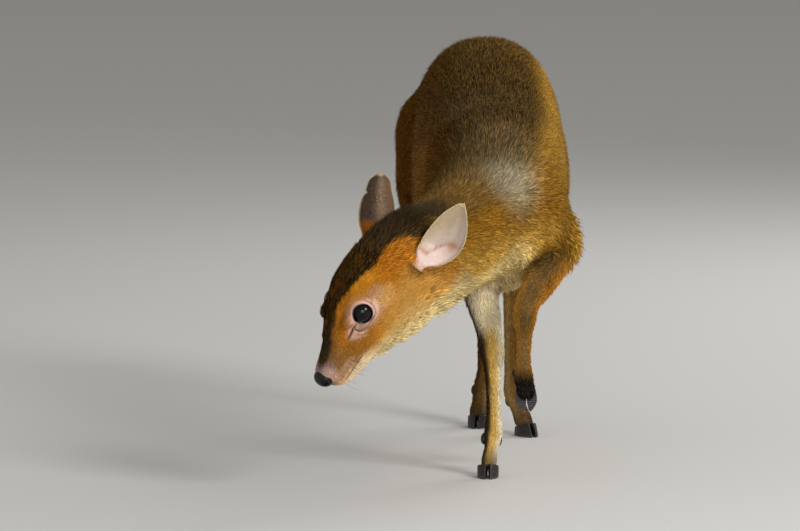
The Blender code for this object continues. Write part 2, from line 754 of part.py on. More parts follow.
def made_nose():
    """The bare pad at the end of the muzzle, with its two nostrils."""
    nose = ball("nose", HEAD, at(NOSE_PAD[0]), NOSE_PAD[1], 18, 10)
    pits = [pit("nostril", NOSTRIL[0], side, NOSTRIL[1], -0.5) for side in (-1, 1)]
    return boolean(nose, pits, "DIFFERENCE")


def claw(name, foot, side):
    """Half of a cloven hoof, flat on its sole and where it meets the hair. side is 1 for her left."""
    sole, toe, top = FEET[foot]
    toe = toe.normalized()
    top = (top - toe * top.dot(toe)).normalized()
    across = top.cross(toe)
    rings = []
    for rise, length, width, shift in (
        (0.0, 1.00, 0.90, 0.00),
        (0.12, 1.00, 1.00, 0.00),
        (0.55, 0.86, 1.02, -0.04),
        (1.0, 0.72, 0.98, -0.07),
    ):
        ring = []
        for i in range(18):
            angle = 2 * math.pi * i / 18
            c, s = math.cos(angle), math.sin(angle)
            along = HOOF_LENGTH * (shift + length * 0.5 * c)
            half = CLAW_WIDTH * 0.5 * width * (1 - 0.42 * max(0.0, c) ** 2.2)
            out = side * CLAW_SPACING / 2 + half * s - side * CLAW_CLOSING * max(0.0, c) ** 2
            height = rise * (CORONET_HEIGHT + CORONET_SLOPE * along)
            ring.append(sole + toe * along + across * out + top * height)
        rings.append(ring)
    return skin_rings(name, rings)


# Finishes: colour, roughness

FINISHES = {
    "brown_coat": ((0.130, 0.080, 0.030), 0.85),
    "golden_coat": ((0.330, 0.150, 0.045), 0.85),
    "face_coat": ((0.480, 0.210, 0.050), 0.80),
    "pale_coat": ((0.600, 0.480, 0.300), 0.85),
    "ear_skin": ((0.620, 0.420, 0.340), 0.60),
    "eye_gloss": ((0.006, 0.005, 0.006), 0.05),
    "nose_skin": ((0.012, 0.010, 0.010), 0.35),
    "hoof_horn": ((0.018, 0.015, 0.013), 0.40),
}
FINISH_OF = (
    ("ear", "ear_skin"),
    ("eye", "eye_gloss"),
    ("nose", "nose_skin"),
    ("head", "face_coat"),
    ("hoof", "hoof_horn"),
    ("dewclaw", "hoof_horn"),
    ("neck", "golden_coat"),
    ("forearm", "golden_coat"),
    ("gaskin", "golden_coat"),
    ("fore_shank", "pale_coat"),
    ("hind_shank", "brown_coat"),
    ("tail", "golden_coat"),
    ("torso", "brown_coat"),
)


def finish(name):
    colour, roughness = FINISHES[name]
    made = bpy.data.materials.get(name) or bpy.data.materials.new(name)
    made.use_nodes = True
    shader = made.node_tree.nodes["Principled BSDF"]
    shader.inputs["Base Color"].default_value = (*colour, 1)
    shader.inputs["Roughness"].default_value = roughness
    shader.inputs["Metallic"].default_value = 0
    return made


def largest_only(item):
    """Keeps a mesh's largest closed surface."""
    name = item.name
    _, points, faces = loose_parts(item)[0]
    return mesh_object(name, points, faces)


def stand_at_origin(nodes):
    """Moves the doe so that the middle of her box is over the origin and her soles lie on Z = 0."""
    corners = [v.co for item in nodes for v in item.data.vertices]
    low = Vector([min(c[i] for c in corners) for i in range(3)])
    high = Vector([max(c[i] for c in corners) for i in range(3)])
    shift = Matrix.Translation(-Vector(((low.x + high.x) / 2, (low.y + high.y) / 2, low.z)))
    for item in nodes:
        item.data.transform(shift)


def main():
    for old in list(bpy.data.objects):
        bpy.data.objects.remove(old)
    nodes = list(parted_body().values())
    nodes.append(made_head())
    nodes.append(made_nose())
    for which, (side, *_) in EARS.items():
        nodes.append(ear(which))
        nodes.append(eye_ball(f"eye_{which}", side, 0.0))
    for foot in FEET:
        outwards = 1 if "left" in foot else -1
        for place, side in (("outer", outwards), ("inner", -outwards)):
            nodes.append(claw(f"hoof_{foot}_{place}", foot, side))
            nodes.append(dewclaw(f"dewclaw_{foot}_{place}", foot, side))
    nodes = [largest_only(item) for item in nodes]
    for item in nodes:
        material = next(f for start, f in FINISH_OF if item.name.startswith(start))
        item.data.materials.append(finish(material))
    stand_at_origin(nodes)


main()
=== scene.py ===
"""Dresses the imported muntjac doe: her skin, coat, eyes, ears, nose and hooves, and a plain studio.

Metres, +Z up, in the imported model's frame. Her forms are made about the point below the back of
her withers, as her solids were, and each finished piece is moved into the model's frame.
"""

import json
import math

import bmesh
import bpy
import numpy as np
from bpy.props import FloatProperty, FloatVectorProperty, IntProperty, PointerProperty
from mathutils import Matrix, Vector, noise
from mathutils.bvhtree import BVHTree

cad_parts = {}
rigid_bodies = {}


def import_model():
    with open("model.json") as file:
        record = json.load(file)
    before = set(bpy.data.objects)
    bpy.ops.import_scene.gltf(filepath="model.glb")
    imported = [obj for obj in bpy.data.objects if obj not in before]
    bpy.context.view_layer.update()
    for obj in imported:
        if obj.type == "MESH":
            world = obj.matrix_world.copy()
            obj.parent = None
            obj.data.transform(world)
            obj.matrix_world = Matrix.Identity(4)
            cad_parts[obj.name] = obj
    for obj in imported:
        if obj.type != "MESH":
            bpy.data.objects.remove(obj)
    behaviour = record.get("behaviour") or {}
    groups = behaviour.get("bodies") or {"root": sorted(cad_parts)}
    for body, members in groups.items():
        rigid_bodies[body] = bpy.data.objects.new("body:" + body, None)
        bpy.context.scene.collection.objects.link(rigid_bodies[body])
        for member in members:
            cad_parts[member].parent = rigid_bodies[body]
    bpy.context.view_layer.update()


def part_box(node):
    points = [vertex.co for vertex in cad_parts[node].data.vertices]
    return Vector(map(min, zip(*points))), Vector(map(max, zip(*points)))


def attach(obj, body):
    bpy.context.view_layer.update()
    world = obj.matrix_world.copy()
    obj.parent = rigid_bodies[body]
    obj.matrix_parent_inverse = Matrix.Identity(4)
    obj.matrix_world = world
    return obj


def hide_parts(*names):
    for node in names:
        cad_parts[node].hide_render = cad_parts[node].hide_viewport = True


bl_info = {
    "name": "Muntjac Doe",
    "version": (1, 0, 0),
    "blender": (4, 5, 0),
    "location": "3D View > Sidebar > Muntjac",
    "description": "Skin, coat, eyes, ears, nose and hooves of a standing muntjac doe",
    "category": "Object",
}

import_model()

# Sizes that her solids were made from
RUMP_HEIGHT = 0.460
HEAD_LENGTH = 0.186
EAR_LENGTH = 0.084
EAR_HALF_WIDTH = 0.0205
EAR_WALL = 0.0016
EYE_RADIUS = 0.0118
LID = 0.0013
HOOF_LENGTH = 0.034
CLAW_WIDTH = 0.0112
CLAW_SPACING = 0.0122
CLAW_CLOSING = 0.0030
CORONET_HEIGHT = 0.0135
CORONET_SLOPE = 0.28

# How finely the skin is made, and how many of its points are worked out at once
BODY_VOXEL = 0.0038
HEAD_VOXEL = 0.0016
AT_ONCE = 20000

SKULL_BACK = Vector((-0.1129, -0.1232, 0.2807))
HEAD = (
    Matrix.Translation(SKULL_BACK)
    @ Matrix.Rotation(-math.radians(70.5), 4, "Z")
    @ Matrix.Rotation(math.radians(56.5), 4, "X")
    @ Matrix.Rotation(math.radians(14), 4, "Y")
)
HEAD_INVERSE = np.array(HEAD.inverted())
UP = Vector((0, 0, 1))
REAR = Vector((0, 1, 0))


def mm(rows):
    """The same rows with their millimetres in metres."""
    return [tuple(round(size / 1000, 7) for size in row) for row in rows]


# Stations of her forms: shares of the head's length for the head and of the ear's sizes for the
# ears, and millimetres for the others

HEAD_STATIONS = [
    (-0.14, 0.115, 0.07, 0.2), (-0.04, 0.16, 0.125, 0.32), (0.08, 0.186, 0.182, 0.385),
    (0.22, 0.202, 0.222, 0.42), (0.36, 0.212, 0.24, 0.4), (0.48, 0.204, 0.234, 0.35),
    (0.6, 0.158, 0.194, 0.284), (0.72, 0.112, 0.132, 0.23), (0.84, 0.087, 0.076, 0.2),
    (0.92, 0.078, 0.05, 0.168), (0.965, 0.064, 0.034, 0.12), (0.985, 0.036, 0.016, 0.078),
]

EAR_STATIONS = [
    (0, 0.36, 0.36, 0, 1), (0.08, 0.44, 0.5, 0.03, 0.8), (0.18, 0.68, 0.72, 0.14, 0),
    (0.32, 0.92, 0.8, 0.26, -1), (0.46, 1, 0.72, 0.3, -1), (0.62, 0.94, 0.56, 0.27, -1),
    (0.78, 0.72, 0.38, 0.17, -1), (0.9, 0.44, 0.24, 0.07, -1), (0.97, 0.22, 0.14, 0, -1),
    (1, 0.07, 0.1, 0, -1),
]

TRUNK_STATIONS = mm(
    [
        (-12, -42, 284, 22, 26, 28), (-10, -20, 287, 52, 60, 62), (-9, 28, 293, 71, 93, 94),
        (-9, 82, 298, 79, 103, 103), (-6, 150, 303, 85, 101, 103), (-2, 228, 309, 87, 108, 98),
        (2, 302, 319, 86, 121, 85), (4, 375, 326, 85, 1000 * RUMP_HEIGHT - 326, 77),
        (5, 435, 328, 76, 116, 74), (5, 478, 326, 57, 86, 62), (5, 500, 322, 26, 42, 36),
    ]
)

NECK_STATIONS = mm(
    [
        (-9, 85, 318, 66, 66, 80), (-14, 30, 308, 64, 66, 86), (-32, -25, 294, 57, 56, 80),
        (-62, -70, 279, 48, 46, 74), (-98, -104, 266, 42, 40, 79), (-126, -132, 252, 36, 34, 70),
    ]
)

TAIL_STATIONS = mm(
    [
        (5, 468, 396, 12.5, 10, 10), (5, 494, 388, 15.5, 11, 10.5), (5, 517, 364, 19.5, 11, 10),
        (5, 527, 330, 22.5, 10.8, 9), (5, 531, 296, 21, 9.8, 8), (5, 533, 268, 14, 7.2, 6.2),
        (5, 534, 250, 4, 3, 3),
    ]
)

LEGS = {
    "fore_right": mm(
        [
            (-36, 88, 376, 12, 20, 20), (-57, 62, 342, 22, 38, 36), (-62, 28, 300, 28, 42, 38),
            (-48, 42, 258, 29, 34, 32), (-32, 40, 226, 25, 24, 24), (-22.8, 22, 190, 19, 18, 19),
            (-15.5, 6, 153, 14.2, 13.5, 14.5), (-13.8, 1, 137, 14.5, 13.5, 15),
            (-12.8, 1, 120, 11, 11.4, 11.4), (-11.8, 3, 90, 9, 9.8, 9.2),
            (-11.5, 5, 63, 9.4, 10.7, 9.4), (-12, 5, 48, 11.8, 13.4, 11),
            (-14.5, -3, 31, 10.4, 11, 10), (-17.5, -10, 17, 11.7, 12.2, 11.2),
            (-18.8, -14, 8, 10, 11, 10),
        ]
    ),
    "fore_left": mm(
        [
            (20, 88, 376, 12, 20, 20), (37, 62, 342, 20, 38, 36), (44, 26, 300, 26, 42, 38),
            (58, 34, 255, 27, 32, 32), (50, 8, 233, 22.5, 24, 24), (34, -25, 211, 18, 18, 19),
            (22.2, -48, 197, 14.2, 14, 14.5), (18.5, -50, 182, 14.2, 13.7, 14.7),
            (18.8, -40, 167, 11, 11.4, 11.4), (19.5, -22, 142, 8.8, 9.7, 9.2),
            (20.5, -6, 120, 9.4, 10.7, 9.4), (21.5, 3, 107, 11.8, 13.4, 11),
            (24, 19, 99, 10.4, 11, 10), (25.8, 30, 90, 11.7, 12.2, 11.2),
            (26.6, 36, 83, 10, 11, 10),
        ]
    ),
    "hind_left": mm(
        [
            (30, 392, 405, 18, 30, 40), (49, 380, 362, 36, 62, 70), (58.5, 355, 315, 39, 74, 78),
            (61.5, 328, 275, 34, 60, 58), (58, 344, 243, 27, 42, 37), (50.5, 372, 216, 20, 27, 23),
            (44, 395, 194, 14.5, 21.5, 16.5), (40, 398, 178, 13.8, 20, 15.2),
            (37, 390, 158, 11.4, 14.6, 12.2), (34.5, 371, 115, 9.2, 10.8, 9.8),
            (33.5, 350, 66, 9.5, 11.2, 9.8), (34.5, 343, 49, 11.9, 13.5, 11.2),
            (40, 333, 31, 10.4, 10.9, 10.1), (45.5, 323, 17, 11.7, 12.2, 11.2),
            (48, 318, 8, 10, 11, 10),
        ]
    ),
    "hind_right": mm(
        [
            (-25, 396, 405, 18, 30, 40), (-53.5, 387, 362, 40, 62, 70),
            (-59, 368, 315, 39, 74, 78), (-63.5, 350, 275, 34, 60, 58),
            (-55, 375, 243, 27, 42, 37), (-30, 415, 216, 20, 27, 23),
            (-11, 448, 194, 14.5, 21.5, 16.5), (-4, 456, 178, 13.8, 20, 15.2),
            (1.5, 454, 158, 11.4, 14.6, 12.2), (7, 443, 115, 9.2, 10.8, 9.8),
            (7.5, 428, 66, 9.5, 11.2, 9.8), (5.5, 422, 49, 11.9, 13.5, 11.2),
            (1.5, 412, 31, 10.4, 10.9, 10.1), (-1.5, 403, 17, 11.7, 12.2, 11.2),
            (-2.5, 399, 8, 10, 11, 10),
        ]
    ),
}

# Swellings of the head and the places on it: out to the side, forward and up in metres
BROW = ((0.0214, 0.1000, 0.0228), (0.0116, 0.0270, 0.0088))
CHEEK = ((0.0225, 0.064, -0.0150), (0.0160, 0.0350, 0.0270))
LIP = ((0.0105, 0.163, -0.0090), (0.0070, 0.0180, 0.0110))
EAR_ROOT = (0.040, 0.031, -0.005)
EYE_MIDDLE = (0.0256, 0.1020, 0.0172)
EYE_LOOK = (0.88, 0.33, 0.28)
NOSE_PAD = ((0, 0.1805, -0.0035), (0.0124, 0.0092, 0.0100))
NOSTRIL = ((0.0084, 0.1868, -0.0025), (0.0026, 0.0048, 0.0021))
MOUTH_CORNER = 0.132
MOUTH_HEIGHT = (-0.0190, -0.0215)
DEWCLAW_SHARE = 11.35
DEWCLAW_SPREAD = 0.0078
DEWCLAW_SIZES = (0.0040, 0.0052, 0.0068)
NAPE_CUT = (HEAD @ Vector((0, 0.001, 0)), Vector((-0.623, -0.549, -0.557)))

# How far past the cut between neck and head the skins of body and head end, how much of the neck
# is kept with the head at first, and how far each skin is tucked in under the other near the cut
BODY_RIM = 0.010
HEAD_RIM = -0.020
NECK_KEPT = -0.075
TUCK = 0.0016

# Each ear's side, the way it stands, the way its cup opens, and how far it bows
EARS = {
    "left": (1, Vector((0.580, -0.11, 0.805)), Vector((-0.18, -0.97, 0.02)), 1.0),
    "right": (-1, Vector((0.060, 0.02, 0.998)), Vector((-0.36, 0.93, 0.0)), -0.3),
}


# Shapes and meshes


def through(stations, steps):
    """Rows of numbers on a smooth curve through the stations, with steps rows to each span."""
    rows = np.array(stations, float)
    padded = np.vstack([2 * rows[0] - rows[1], rows, 2 * rows[-1] - rows[-2]])
    made = []
    for i in range(len(rows) - 1):
        a, b, c, d = padded[i : i + 4]
        for t in np.arange(steps) / steps:
            bend = 2 * a - 5 * b + 4 * c - d + t * (3 * (b - c) + d - a)
            made.append(b + 0.5 * t * (c - a + t * bend))
    return np.array([*made, rows[-1]])


def ease(low, high, value):
    """0 below low, 1 above high, and smooth between them."""
    t = np.clip((np.asarray(value, float) - low) / (high - low), 0, 1)
    return t * t * (3 - 2 * t)


def in_head(out, forward, up):
    return HEAD @ Vector((out, -forward, up))


def head_way(out, forward, up):
    return (HEAD.to_3x3() @ Vector((out, -forward, up))).normalized()


def at(place):
    return Vector((place[0], -place[1], place[2]))


def link(name, mesh):
    made = bpy.data.objects.new(name, mesh)
    bpy.context.scene.collection.objects.link(made)
    return made


def object_of(name, shape):
    """Turns a bmesh into an object."""
    mesh = bpy.data.meshes.new(name)
    shape.to_mesh(mesh)
    shape.free()
    return link(name, mesh)


def mesh_object(name, points, faces, smooth=False):
    mesh = bpy.data.meshes.new(name)
    mesh.from_pydata([tuple(p) for p in points], [], faces)
    shape = bmesh.new()
    shape.from_mesh(mesh)
    bmesh.ops.recalc_face_normals(shape, faces=shape.faces)
    shape.to_mesh(mesh)
    shape.free()
    if smooth:
        mesh.shade_smooth()
    return link(name, mesh)


def skin_rings(name, rings):
    """A closed mesh over rings that hold the same number of points, with a fan at each end."""
    sides = len(rings[0])
    points = [p for ring in rings for p in ring]
    faces = []
    for r in range(len(rings) - 1):
        for s in range(sides):
            n = (s + 1) % sides
            faces.append((r * sides + s, r * sides + n, (r + 1) * sides + n, (r + 1) * sides + s))
    for start in (0, (len(rings) - 1) * sides):
        centre = sum((Vector(points[start + s]) for s in range(sides)), Vector()) / sides
        points.append(centre)
        faces += [(start + s, start + (s + 1) % sides, len(points) - 1) for s in range(sides)]
    return mesh_object(name, points, faces)


def oval(centre, side, over, half, above, below, square, sides=44):
    """A ring about centre: half wide each way along side, above and below it along over."""
    ring = []
    for i in range(sides):
        angle = 2 * math.pi * i / sides
        c, s = math.cos(angle), math.sin(angle)
        across = half * math.copysign(abs(c) ** (2 / square), c)
        tall = (above if s > 0 else below) * math.copysign(abs(s) ** (2 / square), s)
        ring.append(centre + side * across + over * tall)
    return ring


def tube(name, stations, over, square=2.0, steps=5, sides=44):
    """Lofts (x, y, z, half width, size towards over, size away from it) along its own path."""
    rows = through(stations, steps)
    centres = [Vector(r[:3]) for r in rows]
    rings = []
    for i, row in enumerate(rows):
        along = (centres[min(i + 1, len(rows) - 1)] - centres[max(i - 1, 0)]).normalized()
        lift = (over - along * over.dot(along)).normalized()
        rings.append(oval(centres[i], along.cross(lift), lift, *row[3:6], square, sides))
    return skin_rings(name, rings)


def ball(name, matrix, centre, sizes, around, down):
    """An ellipsoid in the frame of matrix."""
    shape = bmesh.new()
    bmesh.ops.create_uvsphere(shape, u_segments=around, v_segments=down, radius=1)
    bmesh.ops.transform(shape, matrix=Matrix.Diagonal((*sizes, 1)), verts=shape.verts)
    bmesh.ops.translate(shape, vec=centre, verts=shape.verts)
    bmesh.ops.transform(shape, matrix=matrix, verts=shape.verts)
    return object_of(name, shape)


def block(name, centre, across, facing, sizes):
    """A box whose third side looks along facing and whose first runs along across."""
    normal = facing.normalized()
    first = (across - normal * across.dot(normal)).normalized()
    axes = Matrix((first, normal.cross(first), normal)).transposed()
    corners = []
    for k in (-0.5, 0.5):
        for j in (-0.5, 0.5):
            for i in (-0.5, 0.5):
                corners.append(centre + axes @ Vector((i * sizes[0], j * sizes[1], k * sizes[2])))
    faces = [(0, 1, 3, 2), (4, 6, 7, 5), (0, 4, 5, 1), (2, 3, 7, 6), (0, 2, 6, 4), (1, 5, 7, 3)]
    return mesh_object(name, corners, faces)


def half_space(name, point, facing, reach=0.30):
    """A big box that fills the side that facing points to, from the plane through point."""
    middle = point + facing.normalized() * (reach / 2)
    return block(name, middle, Vector((0.1, 0.2, 0.97)), facing, (reach, reach, reach))


def evaluated(item):
    """Turns an object's modifiers into its mesh."""
    bpy.context.view_layer.update()
    graph = bpy.context.evaluated_depsgraph_get()
    made = bpy.data.meshes.new_from_object(item.evaluated_get(graph))
    old = item.data
    item.modifiers.clear()
    item.data = made
    bpy.data.meshes.remove(old)
    return item


def joined(name, items):
    """One object that holds the meshes of the items, which are removed."""
    shape = bmesh.new()
    for item in items:
        shape.from_mesh(item.data)
        bpy.data.objects.remove(item)
    return object_of(name, shape)


def fused(name, items, voxel):
    """One closed skin over forms that overlap."""
    body = joined(name, items)
    remesh = body.modifiers.new("fuse", "REMESH")
    remesh.mode = "VOXEL"
    remesh.voxel_size = voxel
    return evaluated(body)


def boolean(item, others, operation):
    """Cuts or joins item with the other meshes, which are removed."""
    tools = bpy.data.collections.new("tools")
    for other in others:
        tools.objects.link(other)
    modifier = item.modifiers.new("boolean", "BOOLEAN")
    modifier.operation = operation
    modifier.operand_type = "COLLECTION"
    modifier.collection = tools
    modifier.solver = "MANIFOLD"
    evaluated(item)
    for other in list(tools.objects):
        bpy.data.objects.remove(other)
    bpy.data.collections.remove(tools)
    return item


def places(mesh):
    points = np.empty(len(mesh.vertices) * 3)
    mesh.vertices.foreach_get("co", points)
    return points.reshape(-1, 3)


def set_places(mesh, points):
    mesh.vertices.foreach_set("co", points.ravel())
    mesh.update()


def directions(mesh):
    """Each point's direction out of the mesh."""
    found = np.empty(len(mesh.vertices) * 3)
    mesh.vertices.foreach_get("normal", found)
    return found.reshape(-1, 3)


def neighbours(mesh):
    ends = np.empty(len(mesh.edges) * 2, int)
    mesh.edges.foreach_get("vertices", ends)
    return ends.reshape(-1, 2).T


def spread(mesh, values, rounds, share=1.0):
    """Eases values, a row for each point, towards their neighbours' mean."""
    a, b = neighbours(mesh)
    count = np.bincount(np.concatenate([a, b]), minlength=len(values))[:, None]
    count = np.maximum(count, 1)
    for _ in range(rounds):
        total = np.zeros_like(values)
        np.add.at(total, a, values[b])
        np.add.at(total, b, values[a])
        values = values + share * 0.5 * (total / count - values)
    return values


def relax(item, rounds, share):
    """Eases the mesh. share(points) gives how far each point is eased, 0 to 1."""
    points = places(item.data)
    set_places(item.data, spread(item.data, points, rounds, share(points)[:, None]))


def unit(rows):
    return rows / np.maximum(np.linalg.norm(rows, axis=1, keepdims=True), 1e-9)


# Her forms


def skull_forms():
    """The skull and muzzle, with the brow, cheek, lip and ear root of each side."""
    rings = []
    for row in through(HEAD_STATIONS, 5) * HEAD_LENGTH:
        ring = oval(Vector((0, -row[0], 0)), Vector((1, 0, 0)), UP, *row[1:4], 2.35, 48)
        rings.append([HEAD @ p for p in ring])
    forms = [skin_rings("skull", rings)]
    for side in (-1, 1):
        for place, sizes in (BROW, CHEEK, LIP):
            centre = Vector((place[0] * side, -place[1], place[2]))
            forms.append(ball("swelling", HEAD, centre, sizes, 28, 18))
    for which in EARS:
        forms.append(ear_root(which))
    return forms


def ear_frame(which):
    """Where an ear starts, and its directions: along it, across it, and out of its cup."""
    side, stand, opening, _ = EARS[which]
    stand = stand.normalized()
    opening = (opening - stand * opening.dot(stand)).normalized()
    root = in_head(EAR_ROOT[0] * side, EAR_ROOT[1], EAR_ROOT[2])
    return root, stand, stand.cross(opening) * side, opening


def past_nape(points):
    """How far each point lies past the cut between neck and head, towards the head."""
    return (points - np.array(NAPE_CUT[0])) @ np.array(NAPE_CUT[1].normalized())


def on_rims(points):
    """True on the two ends where the skins of body and head are cut."""
    past = past_nape(points)
    return (np.abs(past - BODY_RIM) < 1e-4) | (np.abs(past - HEAD_RIM) < 1e-4)


def eye_place(side):
    """The middle of an eye and the way it looks."""
    out, forward, up = EYE_MIDDLE
    return in_head(out * side, forward, up), head_way(EYE_LOOK[0] * side, *EYE_LOOK[1:])


def ear_root(which):
    """The fleshy base of an ear, from inside the skull out to where the leaf starts."""
    root, stand, across, opening = ear_frame(which)
    side = EARS[which][0]
    inside = in_head(0.016 * side, 0.022, 0.004)
    under = in_head(0.034 * side, 0.027, -0.003)
    swellings = (
        (inside, 0.0160),
        (inside.lerp(under, 0.6), 0.0142),
        (under, 0.0112),
        (root + stand * 0.005, 0.0088),
        (root + stand * 0.012 + across * 0.001, 0.0078),
    )
    rows = [(*point, size, size, size) for point, size in swellings]
    return tube("ear_root", rows, opening, 2.0, 4, 24)


def neck_form():
    return tube("neck", NECK_STATIONS, UP, 2.1)


# The lie, depth and length of the coat. Each part's row: depth of the coat over the skin, length
# of a hair, how far it stands up from the skin in degrees, and how grizzled it is

COATS = {
    "trunk": (0.0030, 0.0125, 10, 1.0),
    "neck": (0.0029, 0.0120, 10, 0.8),
    "head": (0.0012, 0.0058, 10, 0.35),
    "fore_right": (0.0011, 0.0070, 9, 0.25),
    "fore_left": (0.0011, 0.0070, 9, 0.55),
    "hind_left": (0.0011, 0.0070, 9, 0.4),
    "hind_right": (0.0011, 0.0070, 9, 0.4),
    "tail": (0.0052, 0.0200, 20, 0.3),
}


def coat_paths():
    """Points along each part with its thickness there and the way its hair lies, as arrays."""
    rows = {"trunk": through(TRUNK_STATIONS[1:], 3), "tail": through(TAIL_STATIONS, 3)}
    rows["neck"] = through(NECK_STATIONS, 4)[::-1]
    for leg, stations in LEGS.items():
        rows[leg] = through(stations[1:], 3)
    head = []
    for share, half, above, below in (through(HEAD_STATIONS, 3) * HEAD_LENGTH)[::-1]:
        head.append((*in_head(0, share, (above - below) / 2), half, (above + below) / 2, half))
    rows["head"] = np.array(head)
    centres, sizes, ways, owners = [], [], [], []
    for k, name in enumerate(COATS):
        part = rows[name]
        centres.append(part[:, :3])
        sizes.append(part[:, 3:6].mean(1))
        ways.append(unit(np.gradient(part[:, :3], axis=0)))
        owners.append(np.full(len(part), k))
    return tuple(np.concatenate(x) for x in (centres, sizes, ways, owners))


def part_shares(points):
    """How far each point belongs to each part, and how its hair lies before it meets the skin."""
    centres, sizes, ways, owners = coat_paths()
    shares = np.zeros((len(points), len(COATS)))
    lie = np.zeros_like(points)
    for start in range(0, len(points), AT_ONCE):
        rows = slice(start, start + AT_ONCE)
        gap = np.linalg.norm(points[rows, None] - centres[None], axis=2) / sizes[None]
        pull = np.exp(-3.0 * gap**2) + 1e-12 / (1 + gap)
        lie[rows] = unit(pull @ ways)
        for k in range(len(COATS)):
            shares[rows, k] = pull[:, owners == k].sum(1)
    return shares / shares.sum(1, keepdims=True), lie


class Surface:
    """What the markings and the coat are worked out from, for each point of a mesh."""

    def __init__(self, mesh):
        self.points = places(mesh)
        self.facing = directions(mesh)
        self.x, self.y, self.z = self.points.T
        self.nx, self.ny, self.nz = self.facing.T
        self.shares, self.lie = part_shares(self.points)
        local = self.points @ HEAD_INVERSE[:3, :3].T + HEAD_INVERSE[:3, 3]
        self.side = local[:, 0]
        self.out = np.abs(local[:, 0])
        self.forward = -local[:, 1]
        self.up = local[:, 2]
        self.look_up = (self.facing @ HEAD_INVERSE[:3, :3].T)[:, 2]
        rise, run = self.up - EYE_MIDDLE[2], EYE_MIDDLE[1] - self.forward
        self.turn = (run - rise) / np.maximum(np.hypot(rise, run) * 1.5, 1e-6)

    def level_rims(self, mesh):
        """Turns the points on the two cut ends of the skin the way their neighbours face."""
        cut = on_rims(self.points)
        pairs = neighbours(mesh)
        facing = np.zeros_like(self.facing)
        for a, b in (pairs, pairs[::-1]):
            np.add.at(facing, a[cut[a] & ~cut[b]], self.facing[b[cut[a] & ~cut[b]]])
        self.facing[cut] = unit(facing[cut] + 1e-9)
        self.nx, self.ny, self.nz = self.facing.T

    def part(self, *names):
        order = list(COATS)
        return sum(self.shares[:, order.index(name)] for name in names)

    def coat(self, column):
        return self.shares @ np.array([row[column] for row in COATS.values()])

    def spot(self, out, forward, up, *radii):
        """1 at a place on both sides of the head, fading to 0 at the radii."""
        away = ((self.out - out) / radii[0]) ** 2 + ((self.forward - forward) / radii[1]) ** 2
        away = np.sqrt(away + ((self.up - up) / radii[2]) ** 2)
        return 1 - ease(0.55, 1.0, away)

    def near(self, x, y, z, radius, core=0.4):
        """1 at a place on the body, fading to 0 at the radius."""
        away = np.linalg.norm(self.points - np.array((x, y, z)), axis=1) / radius
        return 1 - ease(core, 1.0, away)

    def line(self, stations, width):
        """1 on a line of (out, forward, up) on both sides of the head, fading to 0 at width."""
        rows = through(stations, 4)
        here = np.stack([self.out, self.forward, self.up], 1)
        away = np.full(len(here), 1e9)
        for a, b in zip(rows[:-1], rows[1:]):
            run = b - a
            t = np.clip(((here - a) @ run) / (run @ run), 0, 1)
            away = np.minimum(away, np.linalg.norm(here - a - t[:, None] * run, axis=1))
        return 1 - ease(0.25, 1.0, away / width)


def cheap_noise(points, scale, seed):
    """Smooth noise from -1 to 1 at each point."""
    start = Vector((seed * 7.3, seed * 3.1, seed * 5.7))
    return np.array([noise.noise(Vector(p) * scale + start) for p in points])


# Markings


def tint(red, green, blue):
    """A colour of the photograph's scale, 0 to 255, in linear light."""
    shares = [c / 255 for c in (red, green, blue)]
    return np.array([((c + 0.055) / 1.055) ** 2.4 if c > 0.04 else c / 12.92 for c in shares])


def deepened(colour):
    """The same colours with less blue where they are already golden."""
    share = np.clip(colour[:, 2] / np.maximum(colour[:, 0], 1e-6), 0.02, 1)
    return colour * np.stack([np.ones_like(share), np.ones_like(share), share**0.16], 1)


def over(base, colour, share):
    """Lays a colour over others by its share."""
    share = np.clip(share, 0, 1)[:, None]
    return base * (1 - share) + colour * share


def layered(base, *layers):
    """Lays colours over base in turn. Each layer is (red, green, blue) and its share."""
    for colour, share in layers:
        base = over(base, tint(*colour), share)
    return base


def plain(colour, rows):
    """One colour, (red, green, blue), for each of the rows."""
    return np.tile(tint(*colour), (len(rows), 1))


